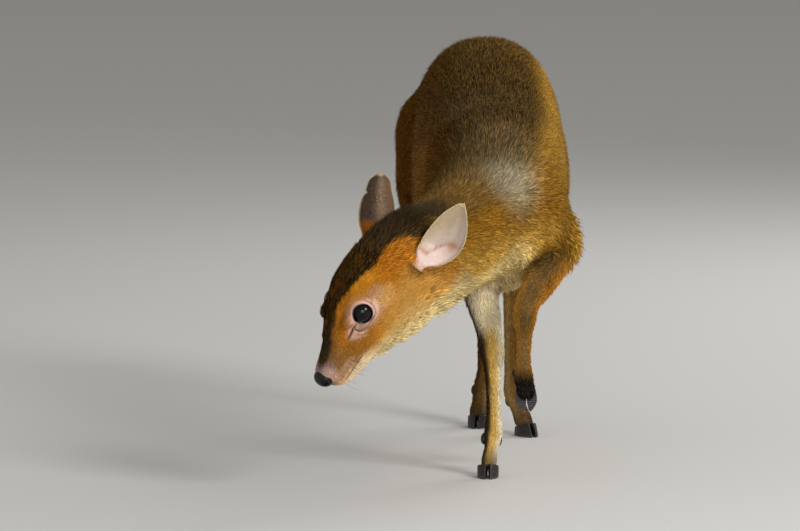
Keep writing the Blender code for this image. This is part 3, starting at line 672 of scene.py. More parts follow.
def body_markings(s):
    """Trunk, neck, legs and tail."""
    side = ease(0.35, 0.85, np.abs(s.nx)) * ease(0.9, 0.5, s.nz)
    # right marks the side that faces her right, whose darker colours below are painted shade
    right = side * ease(0.88, 0.98, -s.nx)
    neck = s.part("neck") * ease(0.06, -0.02, s.y)
    front = np.clip(neck + s.part("trunk") * ease(0.03, -0.02, s.y), 0, 1)
    seat = ease(0.30, 0.85, s.ny) * ease(0.30, 0.40, s.y)
    by_ears = [in_head(0.026 * ear, -0.004, 0.024) for ear in (-1, 1)]
    base = layered(
        plain((50, 34, 12), s.x),
        ((76, 56, 18), ease(0.18, 0.36, s.y) * ease(0.3, 0.8, s.nz) * 0.8),
        ((158, 120, 50), side * ease(-0.02, 0.04, s.x)),
        ((136, 98, 44), side * ease(0.05, 0.12, s.x) * ease(0.85, 0.97, s.nx)),
        # Painted shade: her right half is laid darker than her left, (84, 50, 14) and (92, 56, 22)
        # against the left flank's gold; (126, 86, 38) lightens the front of the right flank again
        ((84, 50, 14), side * ease(0.02, -0.04, s.x)),
        ((92, 56, 22), right),
        ((126, 86, 38), right * ease(0.22, 0.06, s.y)),
        ((134, 100, 42), s.near(0.045, -0.015, 0.305, 0.075) * 0.8),
        ((116, 88, 50), neck * ease(0.3, 0.7, s.nz)),
        ((158, 112, 44), front * ease(0.70, 0.15, s.nz)),
        ((214, 172, 94), front * ease(0.05, -0.35, s.nz)),
        ((255, 230, 170), front * ease(-0.30, -0.54, s.nz)),
        ((66, 53, 40), s.near(-0.114, -0.142, 0.300, 0.072) * ease(0.35, 0.75, s.nz)),
        *(((46, 34, 23), s.near(*place, 0.045)) for place in by_ears),
        ((216, 196, 154), s.part("trunk") * ease(-0.35, -0.75, s.nz)),
        # Painted sheen: the grey patches over the withers and the back behind them stand for light
        # glancing off the coat
        ((178, 170, 148), s.near(0.006, -0.052, 0.328, 0.054, 0.1) * 0.85),
        ((132, 124, 104), s.near(-0.010, -0.026, 0.346, 0.080, 0.1) * 0.26),
        ((118, 104, 80), s.near(-0.012, 0.010, 0.364, 0.060, 0.1) * 0.30),
        # The cream below the neck is her own colour, laid near white as painted light to lift the
        # shade under the neck
        ((255, 232, 172), s.near(-0.006, -0.040, 0.232, 0.047)),
        ((164, 104, 46), seat * 0.7),
        ((226, 212, 180), inner_thigh(s)),
    )
    tail = s.part("tail")
    under = tail * ease(0.15, -0.35, s.ny) * ease(0.345, 0.320, s.z)
    return layered(leg_markings(s, base), ((172, 100, 42), tail), ((238, 232, 220), under))


def inner_thigh(s):
    """The pale insides of the hind legs."""
    hind = s.part("hind_left", "hind_right")
    inwards = np.where(s.x > 0.005, -s.nx, s.nx)
    return hind * ease(0.25, 0.75, inwards) * ease(0.16, 0.24, s.z) * ease(0.36, 0.28, s.z)


# Each leg's outward side, height of its top, and colours: front, outer side, inner side
LEG_COLOURS = {
    # The right foreleg's outer side, (56, 40, 26), is partly its own dark hair and partly painted
    # shade
    "fore_right": (-1, 0.256, (232, 190, 112), (56, 40, 26), (246, 232, 200)),
    "fore_left": (1, 0.258, (152, 112, 62), (178, 118, 46), (186, 132, 66)),
    "hind_left": (1, 0.270, (128, 92, 44), (96, 66, 32), (170, 138, 88)),
    "hind_right": (-1, 0.270, (128, 92, 44), (90, 62, 32), (170, 138, 88)),
}


def leg_markings(s, base):
    """Pale fronts, darker outsides and black feet."""
    for leg, (side, top, front, outside, inside) in LEG_COLOURS.items():
        share = ease(0.30, 0.70, s.part(leg)) * ease(top, top - 0.045, s.z)
        outer = s.nx * side
        low = share * ease(0.040, 0.016, s.z) * (leg != "fore_left")
        base = layered(
            base,
            (front, share),
            (outside, share * ease(0.20, 0.75, outer)),
            (inside, share * ease(0.10, 0.70, -outer)),
            ((84, 64, 46), low * 0.7),
        )
    return fore_left_markings(s, base)


def fore_left_markings(s, base):
    """The lifted foreleg: rusty sides, a grizzled grey front, and a black foot."""
    share = ease(0.35, 0.75, s.part("fore_left")) * ease(0.262, 0.235, s.z)
    front = share * ease(0.35, 0.90, -s.ny + s.nz * 0.2)
    patchy = 0.5 + 0.5 * cheap_noise(s.points, 60, 9)
    right_leg_top = s.near(-0.021, -0.006, 0.190, 0.040) * ease(0.2, 0.7, -s.ny)
    return layered(
        base,
        ((104, 84, 58), front * patchy * 0.9),
        ((196, 164, 118), front * s.near(0.020, -0.02, 0.150, 0.045) * 0.5),
        ((11, 9, 8), share * ease(0.126, 0.104, s.z)),
        ((255, 242, 214), right_leg_top * 0.85),
    )


CROWN_EDGE = mm(
    [
        (-30, 33), (4, 30), (20, 23.5), (34, 20.5), (46, 22.5), (61, 24.6), (71, 21.8), (87, 18.4),
        (99, 15.4), (109, 11.6), (122, 6.6), (134, 4.4), (190, 4),
    ]
)


def face_markings(s, base):
    """The head: orange with a black-edged brown crown, bare about the eye, a cream throat."""
    neck = s.part("neck") * ease(-0.02, 0.02, s.forward)
    head = ease(0.25, 0.60, s.part("head") + 0.6 * neck) * ease(-0.030, 0.004, s.forward)
    jaw = s.up - np.interp(s.forward, *zip(*JAW_LINE))
    chin = ease(-0.0165, -0.0235, s.up) * ease(0.120, 0.145, s.forward)
    muzzle = ease(0.118, 0.142, s.forward)
    slope = ease(0.0160, 0.0060, s.out) * muzzle * ease(-0.3, 0.4, s.look_up)
    wide = np.where(s.side < 0, 0.0060, 0.0)
    top = ease(0.0100, 0.0045, s.out - wide) * ease(0.120, 0.142, s.forward)
    face = layered(
        plain((190, 122, 40), s.x),
        ((200, 150, 84), ease(0.020, -0.010, s.up) * ease(0.13, 0.08, s.forward)),
        ((206, 174, 120), s.spot(0.030, 0.094, -0.034, 0.020, 0.045, 0.020) * 0.7),
        ((158, 104, 40), ease(0.045, 0.010, s.forward) * 0.8),
        ((150, 84, 24), s.spot(0.030, 0.046, 0.030, 0.020, 0.020, 0.016) * 0.5),
        ((212, 190, 144), ease(0.011, -0.010, jaw) * ease(0.170, 0.14, s.forward)),
        ((164, 110, 52), s.spot(0.022, 0.132, -0.006, 0.022, 0.030, 0.018) * 0.9),
        ((150, 108, 68), ease(0.136, 0.160, s.forward) * 0.9),
        ((222, 200, 168), chin),
        ((224, 190, 146), s.spot(0.012, 0.168, -0.0165, 0.014, 0.022, 0.006) * 0.8),
        ((104, 72, 48), slope * 0.75),
        ((196, 156, 132), s.line(LIP_EDGE, 0.0032) * 0.7),
        ((84, 58, 46), s.line(LIP_CREASE, 0.0014) * 0.9),
        ((52, 41, 32), top * ease(-0.3, 0.3, s.look_up)),
        ((150, 120, 108), s.spot(0.0100, 0.172, 0.004, 0.008, 0.014, 0.009) * 0.8),
        ((192, 152, 126), s.spot(0.0150, 0.163, -0.0105, 0.010, 0.022, 0.0075) * 0.85),
        ((212, 146, 48), s.spot(0.026, 0.084, 0.034, 0.012, 0.026, 0.014) * 0.8),
        ((176, 112, 44), s.spot(0.036, 0.024, 0.012, 0.014, 0.022, 0.018) * 0.8),
        ((232, 186, 128), s.spot(0.034, 0.078, 0.010, 0.012, 0.018, 0.016) * 0.6),
    )
    return base * (1 - head[:, None]) + crown(s, face) * head[:, None]


def bell(value, middle, width, power=2):
    """1 at the middle, falling to 0 on both sides of it."""
    return np.exp(-(((value - middle) / width) ** power))


def crown(s, face):
    """The kite-shaped patch on the forehead and crown, brown inside a black edge."""
    edge = np.interp(s.forward, *zip(*CROWN_EDGE))
    wander = 0.0010 * np.sin(s.forward * 900)
    wander = wander + 0.0007 * np.sin(s.forward * 2300 + s.side * 900)
    far = ease(-0.004, -0.014, s.side) * bell(s.forward, 0.106, 0.034)
    within = edge + wander + 0.014 * far - s.out
    patch = ease(-0.0010, 0.0012, within) * ease(0.147, 0.130, s.forward)
    patch = patch * ease(-0.35, 0.05, s.look_up)
    middle = ease(0.5, 1.4, within / np.interp(s.forward, *zip(*CROWN_BAND)))
    rust = cheap_noise(np.stack([s.side, s.forward, s.up], 1), 120, 3)
    inside = layered(
        plain((22, 14, 9), s.x),
        ((52, 32, 17), middle),
        ((34, 23, 13), ease(0.092, 0.070, s.forward) * middle),
        ((112, 60, 18), np.clip(rust * 2, 0, 1) * middle * 0.45),
        ((54, 42, 31), ease(0.060, 0.025, s.forward)),
    )
    return face * (1 - patch[:, None]) + inside * patch[:, None]


def bare_skin(s):
    """How bare the skin is: about the eye and on the nose's edge."""
    around = s.spot(0.033, 0.1045, 0.0165, 0.030, 0.0265, 0.0205) * (1 - far_brow(s))
    behind = s.spot(0.036, 0.0800, 0.0220, 0.014, 0.012, 0.010) * 0.45
    tear = s.spot(0.026, 0.1225, 0.0090, 0.015, 0.0185, 0.0135) * 0.8
    muzzle = s.spot(0.007, 0.178, -0.001, 0.018, 0.016, 0.014) * 0.7
    every = np.clip(np.maximum(np.maximum(around, behind), np.maximum(tear, muzzle)), 0, 1)
    return every * ease(0.3, 0.6, s.part("head"))


def far_brow(s):
    """The right brow, which the brown of the crown reaches over."""
    brow = ease(-0.008, -0.016, s.side) * ease(0.013, 0.021, s.up)
    return brow * bell(s.forward, 0.104, 0.034, 4)


def eye_distance(s):
    """Each point's distance from the line through the middle of its side's eye."""
    out, forward, up = EYE_MIDDLE
    look = np.array(EYE_LOOK) / np.linalg.norm(EYE_LOOK)
    from_eye = np.stack([s.out - out, s.forward - forward, s.up - up], 1)
    along = from_eye @ look
    away = np.linalg.norm(from_eye - along[:, None] * look, axis=1)
    return np.where(along > 0, away, 1.0)


CROWN_BAND = mm([(30, 30), (55, 15), (75, 9), (100, 5), (130, 3.4)])
JAW_LINE = mm([(30, -62), (70, -46), (100, -34), (120, -26), (150, -21)])
LIP_EDGE = mm([(16.4, 140, -17.6), (16, 150, -19), (11.2, 171.4, -20.8)])
LIP_CREASE = mm([(17, 133, -17.6), (15.8, 150, -19.6), (11.2, 171.4, -21.2)])
TEAR_CREASE = mm([(28.5, 113.5, 13.5), (23.2, 120.7, 13.3), (21.2, 126.2, 11.2), (19, 133.5, 9)])
UNDER_CREASE = mm(
    [(23, 121.5, 11), (25, 120.5, 6.2), (27.2, 115, 2.2), (30.4, 107.5, 3), (32.8, 101, 6.2)]
)
GLAND_RIDGE = mm([(9.2, 102, 38), (10.2, 116, 34.5), (9.8, 130, 28.5), (7.8, 142, 22)])
BROW_SLIT = mm([(6.2, 106.5, 37.5), (7.8, 115, 34.5), (8.8, 124, 29.5), (7.8, 130.5, 25.5)])


def skin_details(s, base):
    """The bare skin, the eye's rims and creases, and the slits of the glands."""
    away = eye_distance(s)
    rim = ease(0.0130, 0.0136, away) * ease(0.0150, 0.0142, away)
    return layered(
        base,
        ((208, 174, 162), bare_skin(s) * 0.66),
        ((70, 48, 42), rim * (0.15 + 0.5 * ease(-0.3, 0.4, s.turn))),
        ((204, 164, 152), ease(0.0132, 0.0126, away) * 0.9),
        ((52, 33, 18), far_brow(s) * ease(0.0116, 0.0124, away)),
        ((24, 16, 15), ease(0.0118, 0.0112, away)),
        ((20, 14, 13), s.line(TEAR_CREASE, 0.0021)),
        ((58, 38, 33), s.line(UNDER_CREASE, 0.0019) * 0.8),
        ((112, 84, 78), s.spot(0.0275, 0.1150, 0.0080, 0.008, 0.006, 0.005) * 0.6),
        ((24, 18, 16), s.line(BROW_SLIT, 0.0038) * 0.8),
        ((132, 102, 84), s.line(BROW_SLIT, 0.0012) * 0.9),
    )


# The skin


def softness(points):
    """How far each point of the body is eased: fully on the trunk, little on the thin legs."""
    return 1 - 0.8 * (1 - ease(0.17, 0.26, points[:, 2]))


def coat_depth(mesh):
    """How deep the coat is over each point."""
    s = Surface(mesh)
    depth = s.coat(0)
    depth = depth + 0.0012 * s.part("head") * ease(-0.015, -0.040, s.up)
    face = ease(0.3, 0.7, s.part("head")) * ease(0.085, 0.130, s.forward)
    depth = depth * (1 - 0.55 * face)
    return depth * (1 - 0.75 * bare_skin(s))


def sink(item):
    """Moves a mesh's points inwards by the coat's depth."""
    mesh = item.data
    depth = spread(mesh, coat_depth(mesh)[:, None], 4)
    set_places(mesh, places(mesh) - directions(mesh) * depth)


def cut_at_nape(item, past, way):
    """Cuts off what lies beyond a plane that far past the nape: its head side for way 1, or -1."""
    point = NAPE_CUT[0] + NAPE_CUT[1].normalized() * past
    return boolean(item, [half_space("beyond", point, NAPE_CUT[1] * way)], "DIFFERENCE")


def body_skin(head):
    """Trunk, neck, tail and legs as one skin, whose head end lies just inside the head's skin."""
    forms = [
        tube("trunk", TRUNK_STATIONS, UP, 2.38),
        neck_form(),
        tube("tail", TAIL_STATIONS, REAR, 2.0, 5, 28),
        *skull_forms(),
        *(tube(name, rows, REAR, 2.1, 4, 32) for name, rows in LEGS.items()),
    ]
    body = fused("skin_body", forms, BODY_VOXEL)
    relax(body, 22, softness)
    sink(body)
    points = places(body.data)
    past = past_nape(points)
    share = ease(-0.056, -0.022, past)
    about = np.linalg.norm(points - np.array(NAPE_CUT[0]), axis=1)
    for i in np.nonzero((share > 0) & (past < 0.02) & (about < 0.13))[0]:
        near = np.array(head.find_nearest(Vector(points[i]))[0])
        points[i] += (near - points[i]) * share[i]
    tuck = TUCK * ease(-0.004, 0.006, past)[:, None]
    set_places(body.data, points - directions(body.data) * tuck)
    return cut_at_nape(body, BODY_RIM, 1)


def refine(item, near):
    """Splits the edges where near(points) is true."""
    shape = bmesh.new()
    shape.from_mesh(item.data)
    chosen = near(places(item.data))
    edges = [e for e in shape.edges if chosen[e.verts[0].index] and chosen[e.verts[1].index]]
    bmesh.ops.subdivide_edges(shape, edges=edges, cuts=1, use_grid_fill=True, smooth=0.6)
    shape.to_mesh(item.data)
    shape.free()


def fine_places(points):
    """True about the eyes and on the front of the muzzle."""
    local = points @ HEAD_INVERSE[:3, :3].T + HEAD_INVERSE[:3, 3]
    here = np.stack([np.abs(local[:, 0]), -local[:, 1], local[:, 2]], 1)
    eye = np.linalg.norm(here - np.array((0.031, 0.108, 0.016)), axis=1) < 0.026
    return eye | (here[:, 1] > 0.142)


def carve(item):
    """Presses the creases by the eye and the glands' slits into the skin, and swells the pouch by
    the eye and the glands' ridge.
    """
    mesh = item.data
    s = Surface(mesh)
    depth = 0.0014 * s.line(TEAR_CREASE, 0.0028) + 0.0012 * s.line(UNDER_CREASE, 0.0026)
    depth += 0.0010 * s.line(BROW_SLIT, 0.0020) - 0.0006 * s.line(BROW_SLIT, 0.0060)
    pouch = s.spot(0.0270, 0.1190, 0.0055, 0.008, 0.010, 0.006)
    depth -= 0.0009 * pouch + 0.0024 * s.line(GLAND_RIDGE, 0.0085)
    set_places(mesh, s.points - s.facing * depth[:, None])


def eye_ball(name, side, grow, around=40, down=28):
    centre, look = eye_place(side)
    turn = look.to_track_quat("Z", "Y").to_matrix().to_4x4()
    place = Matrix.Translation(centre) @ turn
    return ball(name, place, Vector(), (EYE_RADIUS + grow,) * 3, around, down)


# Half the length and half the height of the lids' opening and of the pupil
OPEN_LIDS = (0.0108, 0.0104)
PUPIL = (0.0068, 0.0040)

# How much smaller the nose's seat and the eye's ball are than the solids, how much wider the eye's
# socket is, and how deep and thick the mouth's slit is
SEAT_LESS = 0.0004
EYE_LESS = 0.00005
SOCKET_MORE = 0.0001
MOUTH_DEPTH = 0.0026
MOUTH_GAP = 0.00045


def lid_opening(side):
    """An almond prism from the eye's middle outwards, which opens the lids over the eye."""
    centre, look = eye_place(side)
    long_way = head_way(0, 1, -0.42)
    long_way = (long_way - look * long_way.dot(look)).normalized()
    short_way = look.cross(long_way)
    rings = []
    for reach, flare in ((0.004, 0.94), (0.0100, 0.97), (0.0135, 1.06), (0.022, 1.5)):
        ring = []
        for i in range(48):
            angle = 2 * math.pi * i / 48
            front, behind = max(0.0, math.cos(angle)), max(0.0, -math.cos(angle))
            corner = 1 + 0.20 * front**10 + 0.06 * behind**8
            across = long_way * (OPEN_LIDS[0] * flare * corner * math.cos(angle))
            rise = short_way * (OPEN_LIDS[1] * flare * math.sin(angle))
            ring.append(centre + look * reach + across + rise)
        rings.append(ring)
    return skin_rings("lid_opening", rings)


def mouth_blade(head):
    """A thin wedge that follows the lips from one corner round the front to the other."""
    tree = BVHTree.FromObject(head, bpy.context.evaluated_depsgraph_get())
    heart, steps = MOUTH_CORNER + 0.012, 64
    low, high = MOUTH_HEIGHT
    up = head_way(0, 0, 1)
    rings = []
    for i in range(steps + 1):
        turn = math.radians(-128 + 256 * i / steps)
        rise = low + (high - low) * ease(-0.6, 0.8, math.cos(turn))
        way = head_way(math.sin(turn), math.cos(turn), 0)
        hit = tree.ray_cast(in_head(0, heart, rise), way)[0]
        end = min(1.0, 0.2 + 0.11 * min(i, steps - i))
        inner, outer = hit - way * (MOUTH_DEPTH * end), hit + way * 0.002
        thin, thick = up * MOUTH_GAP * 0.4, up * MOUTH_GAP * 2.0
        rings.append([inner + thin, outer + thick, outer - thick, inner - thin])
    return skin_rings("mouth", rings)


def head_skin():
    """The head and the neck's start, with lids, mouth and seats, and its surface before them."""
    head = fused("skin_head", [neck_form(), *skull_forms()], HEAD_VOXEL)
    relax(head, 14, lambda points: np.full(len(points), 0.8))
    head = cut_at_nape(head, NECK_KEPT, -1)
    refine(head, fine_places)
    relax(head, 2, lambda points: np.full(len(points), 0.5))
    sink(head)
    whole = BVHTree.FromObject(head, bpy.context.evaluated_depsgraph_get())
    head = cut_at_nape(head, HEAD_RIM, -1)
    points = places(head.data)
    tuck = TUCK * ease(-0.004, -0.012, past_nape(points))[:, None]
    set_places(head.data, points - directions(head.data) * tuck)
    carve(head)
    blade = mouth_blade(head)
    head = boolean(head, [eye_ball("lid", side, LID) for side in (-1, 1)], "UNION")
    seat = [size - SEAT_LESS for size in NOSE_PAD[1]]
    taken = [blade, ball("nose_seat", HEAD, at(NOSE_PAD[0]), seat, 36, 20)]
    for side in (-1, 1):
        taken.append(eye_ball("socket", side, SOCKET_MORE))
        taken.append(lid_opening(side))
    return boolean(head, taken, "DIFFERENCE"), whole


def put_attributes(mesh, **named_rows):
    """Stores on the points, under each name, numbers, directions or the coat's colours."""
    for name, rows in named_rows.items():
        kind, field = ("FLOAT", "value") if rows.ndim == 1 else ("FLOAT_VECTOR", "vector")
        if name == "coat_colour":
            kind, field = "FLOAT_COLOR", "color"
            rows = np.hstack([rows, np.ones((len(rows), 1))])
        made = mesh.attributes.get(name) or mesh.attributes.new(name, kind, "POINT")
        made.data.foreach_set(field, np.ascontiguousarray(rows, np.float32).ravel())


def skin_object():
    """The whole skin with its markings, the coat's lie and lengths, and an unwrap."""
    head, whole = head_skin()
    skin = joined("skin", [body_skin(whole), head])
    mesh = skin.data
    mesh.shade_smooth()
    s = Surface(mesh)
    s.level_rims(mesh)
    colour = skin_details(s, deepened(face_markings(s, body_markings(s))))
    colour = np.clip(colour, 0, 1)
    put_attributes(mesh, coat_colour=colour, bare=bare_skin(s), lie=hair_lie(mesh, s))
    store_coat(mesh, s)
    unwrap(skin)
    return skin


def unwrap(item):
    """Lays the mesh out flat as the map OFBake."""
    item.data.uv_layers.new(name="OFBake")
    bpy.ops.object.select_all(action="DESELECT")
    item.select_set(True)
    bpy.context.view_layer.objects.active = item
    bpy.ops.object.mode_set(mode="EDIT")
    bpy.ops.mesh.select_all(action="SELECT")
    bpy.ops.uv.smart_project(angle_limit=math.radians(66), island_margin=0.002)
    bpy.ops.object.mode_set(mode="OBJECT")


def flat_to(facing, ways):
    """The ways without what of them runs along the facings."""
    return ways - facing * (ways * facing).sum(1, keepdims=True)


def hair_lie(mesh, s):
    """The way the hair lies along the skin at each point."""
    way = s.lie.copy()
    way[:, 2] -= s.part("trunk", "neck") * (1 - np.abs(s.nz)) * 0.45
    sway = np.stack([cheap_noise(s.points, 22, k) for k in (11, 12, 13)], 1)
    way = way + 0.22 * sway
    eye = s.spot(0.030, 0.1035, 0.0185, 0.030, 0.036, 0.034)
    left, right = (np.array(eye_place(side)[0]) for side in (1, -1))
    centres = np.where(s.side[:, None] > 0, left, right)
    way = way + unit(s.points - centres) * eye[:, None] * 0.9
    for which in EARS:
        root, stand, _, _ = ear_frame(which)
        away = np.linalg.norm(s.points - np.array(root), axis=1)[:, None]
        way = way + 2.5 * np.array(stand) * ease(0.020, 0.008, away)
    return unit(spread(mesh, unit(flat_to(s.facing, way)), 6))


def fringe_share(s):
    """Where longer hair stands clear: throat, chest, belly, elbows and the backs of the thighs."""
    head = ease(0.3, 0.7, s.part("head"))
    throat = head * ease(-0.024, -0.046, s.up) * ease(0.150, 0.120, s.forward)
    throat = throat * ease(-0.1, -0.6, s.look_up)
    under = s.part("neck", "trunk") * ease(-0.50, -0.85, s.nz) * ease(-0.09, -0.12, s.y)
    under = under + 0.8 * s.part("trunk") * ease(-0.50, -0.85, s.nz) * ease(0.06, 0.10, s.y)
    elbow = s.near(0.088, 0.032, 0.262, 0.042) * ease(0.05, 0.6, s.nx)
    right_elbow = s.near(-0.082, 0.045, 0.262, 0.035) * ease(-0.05, -0.6, s.nx)
    thigh = s.part("hind_left", "hind_right") * ease(0.35, 0.8, s.ny) * ease(0.20, 0.25, s.z)
    knee = s.near(0.030, 0.0, 0.205, 0.030) * ease(0.1, 0.6, s.ny)
    return np.clip(throat + under * 0.8 + elbow + right_elbow + thigh * 0.5 + knee * 0.4, 0, 1)


def store_coat(mesh, s):
    """Stores where each kind of hair grows, and how long, steep and grizzled it is there."""
    bare = bare_skin(s)
    head = ease(0.3, 0.7, s.part("head"))
    limb = s.part(*LEGS)
    length = s.coat(1) * (1 - 0.45 * head * ease(0.09, 0.16, s.forward)) * (1 - 0.5 * bare)
    length = length + 0.0040 * head * ease(0.075, 0.030, s.forward)
    length = length + 0.0030 * head * ease(-0.020, -0.045, s.up)
    length = length + 0.0045 * limb * ease(0.17, 0.27, s.z)
    length = length * (1 - 0.35 * limb * ease(0.10, 0.03, s.z))
    nape = s.near(-0.108, -0.140, 0.302, 0.080) * ease(0.3, 0.7, s.nz)
    grizzle = s.coat(3) * (1 - 0.7 * nape) + 0.15 * crown_share(s)
    grows = (1 - 0.75 * ease(0.30, 0.90, bare)) * ease(0.0134, 0.0150, eye_distance(s))
    tip = 1 - ease(0.176, 0.183, s.forward) * head
    slits = np.maximum(s.line(TEAR_CREASE, 0.0034), s.line(UNDER_CREASE, 0.0030))
    slits = slits + 0.8 * s.line(BROW_SLIT, 0.0016)
    grows = grows * tip * ~on_rims(s.points) * np.clip(1 - slits, 0, 1)
    for which in EARS:
        root, stand, _, _ = ear_frame(which)
        away = np.linalg.norm(s.points - np.array(root + stand * 0.010), axis=1)
        grows = grows * ease(0.0082, 0.0108, away)
    limbs = ease(0.30, 0.60, limb) * ease(0.285, 0.255, s.z)
    tail = ease(0.35, 0.6, s.part("tail"))
    neck = ease(0.35, 0.65, s.part("neck") + head * ease(0.05, 0.0, s.forward)) * (1 - limbs)
    face = head * (1 - neck)
    trunk = np.clip(1 - limbs - tail - neck - face, 0, 1)
    zones = {"trunk": trunk, "neck": neck, "face": face, "limbs": limbs, "tail": tail}
    growing = {
        f"grow_{name}": np.where(share > 0.04, share * grows, 0) for name, share in zones.items()
    }
    put_attributes(
        mesh,
        coat_length=length,
        coat_lift=np.radians(s.coat(2)),
        grizzle=np.clip(grizzle, 0, 1),
        grow_fringe=fringe_share(s) * grows,
        **growing,
    )


def crown_share(s):
    """How far a point lies on the crown's dark patch."""
    edge = np.interp(s.forward, *zip(*CROWN_EDGE))
    share = ease(0, 0.002, edge - s.out) * ease(0.3, 0.6, s.part("head"))
    return share * ease(-0.3, 0.1, s.look_up)


# Tufts of hair


def hair_pattern(name, rows, curl):
    """A three-sided pointed tuft along +Z, one long and one wide, from (height, width) rows."""
    points = []
    for height, width in rows:
        back = -curl * height**2
        points.append((-width / 2, back - 0.20 * width, height))
        points.append((width / 2, back - 0.20 * width, height))
        points.append((0, back + 0.40 * width, height))
    top = len(points)
    points.append((0, -curl, 1.0))
    faces = [(0, 1, 2)]
    for a in range(0, top - 3, 3):
        for k in range(3):
            n = (k + 1) % 3
            faces.append((a + k, a + n, a + 3 + n, a + 3 + k))
    faces += [(top - 3, top - 2, top), (top - 2, top - 1, top), (top - 1, top - 3, top)]
    item = mesh_object(name, points, faces, True)
    across, _, tip = np.array(points).T
    put_attributes(item.data, tip=tip, across=across + 0.5)
    item.hide_render = True
    return item


def node(tree, kind, inputs=(), **settings):
    """Adds a node, feeds its inputs with sockets or plain values, and gives its outputs."""
    made = tree.nodes.new(kind)
    for key, value in settings.items():
        setattr(made, key, value)
    for key, value in dict(inputs).items():
        if hasattr(value, "is_linked"):
            tree.links.new(value, made.inputs[key])
        else:
            made.inputs[key].default_value = value
    return made.outputs


def named(tree, name, kind="FLOAT"):
    inputs = {"Name": name}
    return node(tree, "GeometryNodeInputNamedAttribute", inputs, data_type=kind)["Attribute"]


def maths(tree, operation, *values):
    return node(tree, "ShaderNodeMath", enumerate(values), operation=operation)[0]


def times(tree, first, *others):
    for other in others:
        first = maths(tree, "MULTIPLY", first, other)
    return first


def vector_maths(tree, operation, *values):
    slots = (0, "Scale" if operation == "SCALE" else 1)
    return node(tree, "ShaderNodeVectorMath", zip(slots, values), operation=operation)[0]


def random_number(tree, low, high, seed):
    """A random number, or a random vector where low and high are vectors."""
    kind, slot, made = ("FLOAT_VECTOR", 0, 0) if isinstance(low, tuple) else ("FLOAT", 2, 1)
    inputs = {slot: low, slot + 1: high, "Seed": seed}
    return node(tree, "FunctionNodeRandomValue", inputs, data_type=kind)[made]


def store(tree, geometry, name, kind, domain, value):
    inputs = {"Name": name, "Geometry": geometry, "Value": value}
    settings = {"data_type": kind, "domain": domain}
    return node(tree, "GeometryNodeStoreNamedAttribute", inputs, **settings)["Geometry"]


COAT_INPUTS = {
    "Geometry": "Geometry", "Grows": "String", "Tufts per Square Metre": "Float",
    "Tuft": "Object", "Width": "Float", "Length": "Float", "Lift": "Float", "Disorder": "Float",
    "Seed": "Int", "Hair": "Material",
}


def coat_tree():
    """Grows tufts over a skin where its attributes say, laid along its lie."""
    tree = bpy.data.node_groups.new("coat", "GeometryNodeTree")
    for name, kind in COAT_INPUTS.items():
        tree.interface.new_socket(name, in_out="INPUT", socket_type=f"NodeSocket{kind}")
    tree.interface.new_socket("Geometry", in_out="OUTPUT", socket_type="NodeSocketGeometry")
    given = node(tree, "NodeGroupInput")
    density = times(tree, named(tree, given["Grows"]), given["Tufts per Square Metre"])
    inputs = {"Mesh": given["Geometry"], "Density": density, "Seed": given["Seed"]}
    kind = "GeometryNodeDistributePointsOnFaces"
    scatter = node(tree, kind, inputs, distribute_method="RANDOM")
    root = named(tree, "OFBake", "FLOAT_VECTOR")
    points = store(tree, scatter["Points"], "root_uv", "FLOAT_VECTOR", "POINT", root)
    tone = random_number(tree, 0.0, 1.0, given["Seed"])
    points = store(tree, points, "tone", "FLOAT", "POINT", tone)

    wander = random_number(tree, (-1, -1, -1), (1, 1, 1), 5)
    wander = vector_maths(tree, "SCALE", wander, given["Disorder"])
    lying = vector_maths(tree, "ADD", named(tree, "lie", "FLOAT_VECTOR"), wander)
    lying = vector_maths(tree, "NORMALIZE", lying)
    unruly = random_number(tree, 0.6, 1.5, 6)
    lift = times(tree, named(tree, "coat_lift"), given["Lift"], unruly)
    raised = vector_maths(tree, "SCALE", scatter["Normal"], maths(tree, "SINE", lift))
    level = vector_maths(tree, "SCALE", lying, maths(tree, "COSINE", lift))
    way = vector_maths(tree, "ADD", raised, level)
    kind = "FunctionNodeAlignRotationToVector"
    turn = node(tree, kind, {"Vector": way}, axis="Z")["Rotation"]
    inputs = {"Rotation": turn, "Vector": scatter["Normal"]}
    turn = node(tree, kind, inputs, axis="Y", pivot_axis="Z")["Rotation"]

    uneven = random_number(tree, 0.70, 1.20, 7)
    long = times(tree, named(tree, "coat_length"), given["Length"], uneven)
    wide = times(tree, given["Width"], random_number(tree, 0.7, 1.3, 8))
    sizes = node(tree, "ShaderNodeCombineXYZ", {"X": wide, "Y": wide, "Z": long})["Vector"]
    tuft = node(tree, "GeometryNodeObjectInfo", {"Object": given["Tuft"]})["Geometry"]
    inputs = {"Points": points, "Instance": tuft, "Rotation": turn, "Scale": sizes}
    tufts = node(tree, "GeometryNodeInstanceOnPoints", inputs)["Instances"]
    real = node(tree, "GeometryNodeRealizeInstances", {"Geometry": tufts})["Geometry"]
    inputs = {"X": named(tree, "across"), "Y": named(tree, "tip")}
    patch = node(tree, "ShaderNodeCombineXYZ", inputs)["Vector"]
    patch = vector_maths(tree, "SCALE", patch, 0.003)
    spot = vector_maths(tree, "ADD", named(tree, "root_uv", "FLOAT_VECTOR"), patch)
    mapped = store(tree, real, "OFBake", "FLOAT2", "CORNER", spot)
    inputs = {"Geometry": mapped, "Material": given["Hair"]}
    finish = node(tree, "GeometryNodeSetMaterial", inputs)["Geometry"]
    node(tree, "NodeGroupOutput", {"Geometry": finish})
    return tree


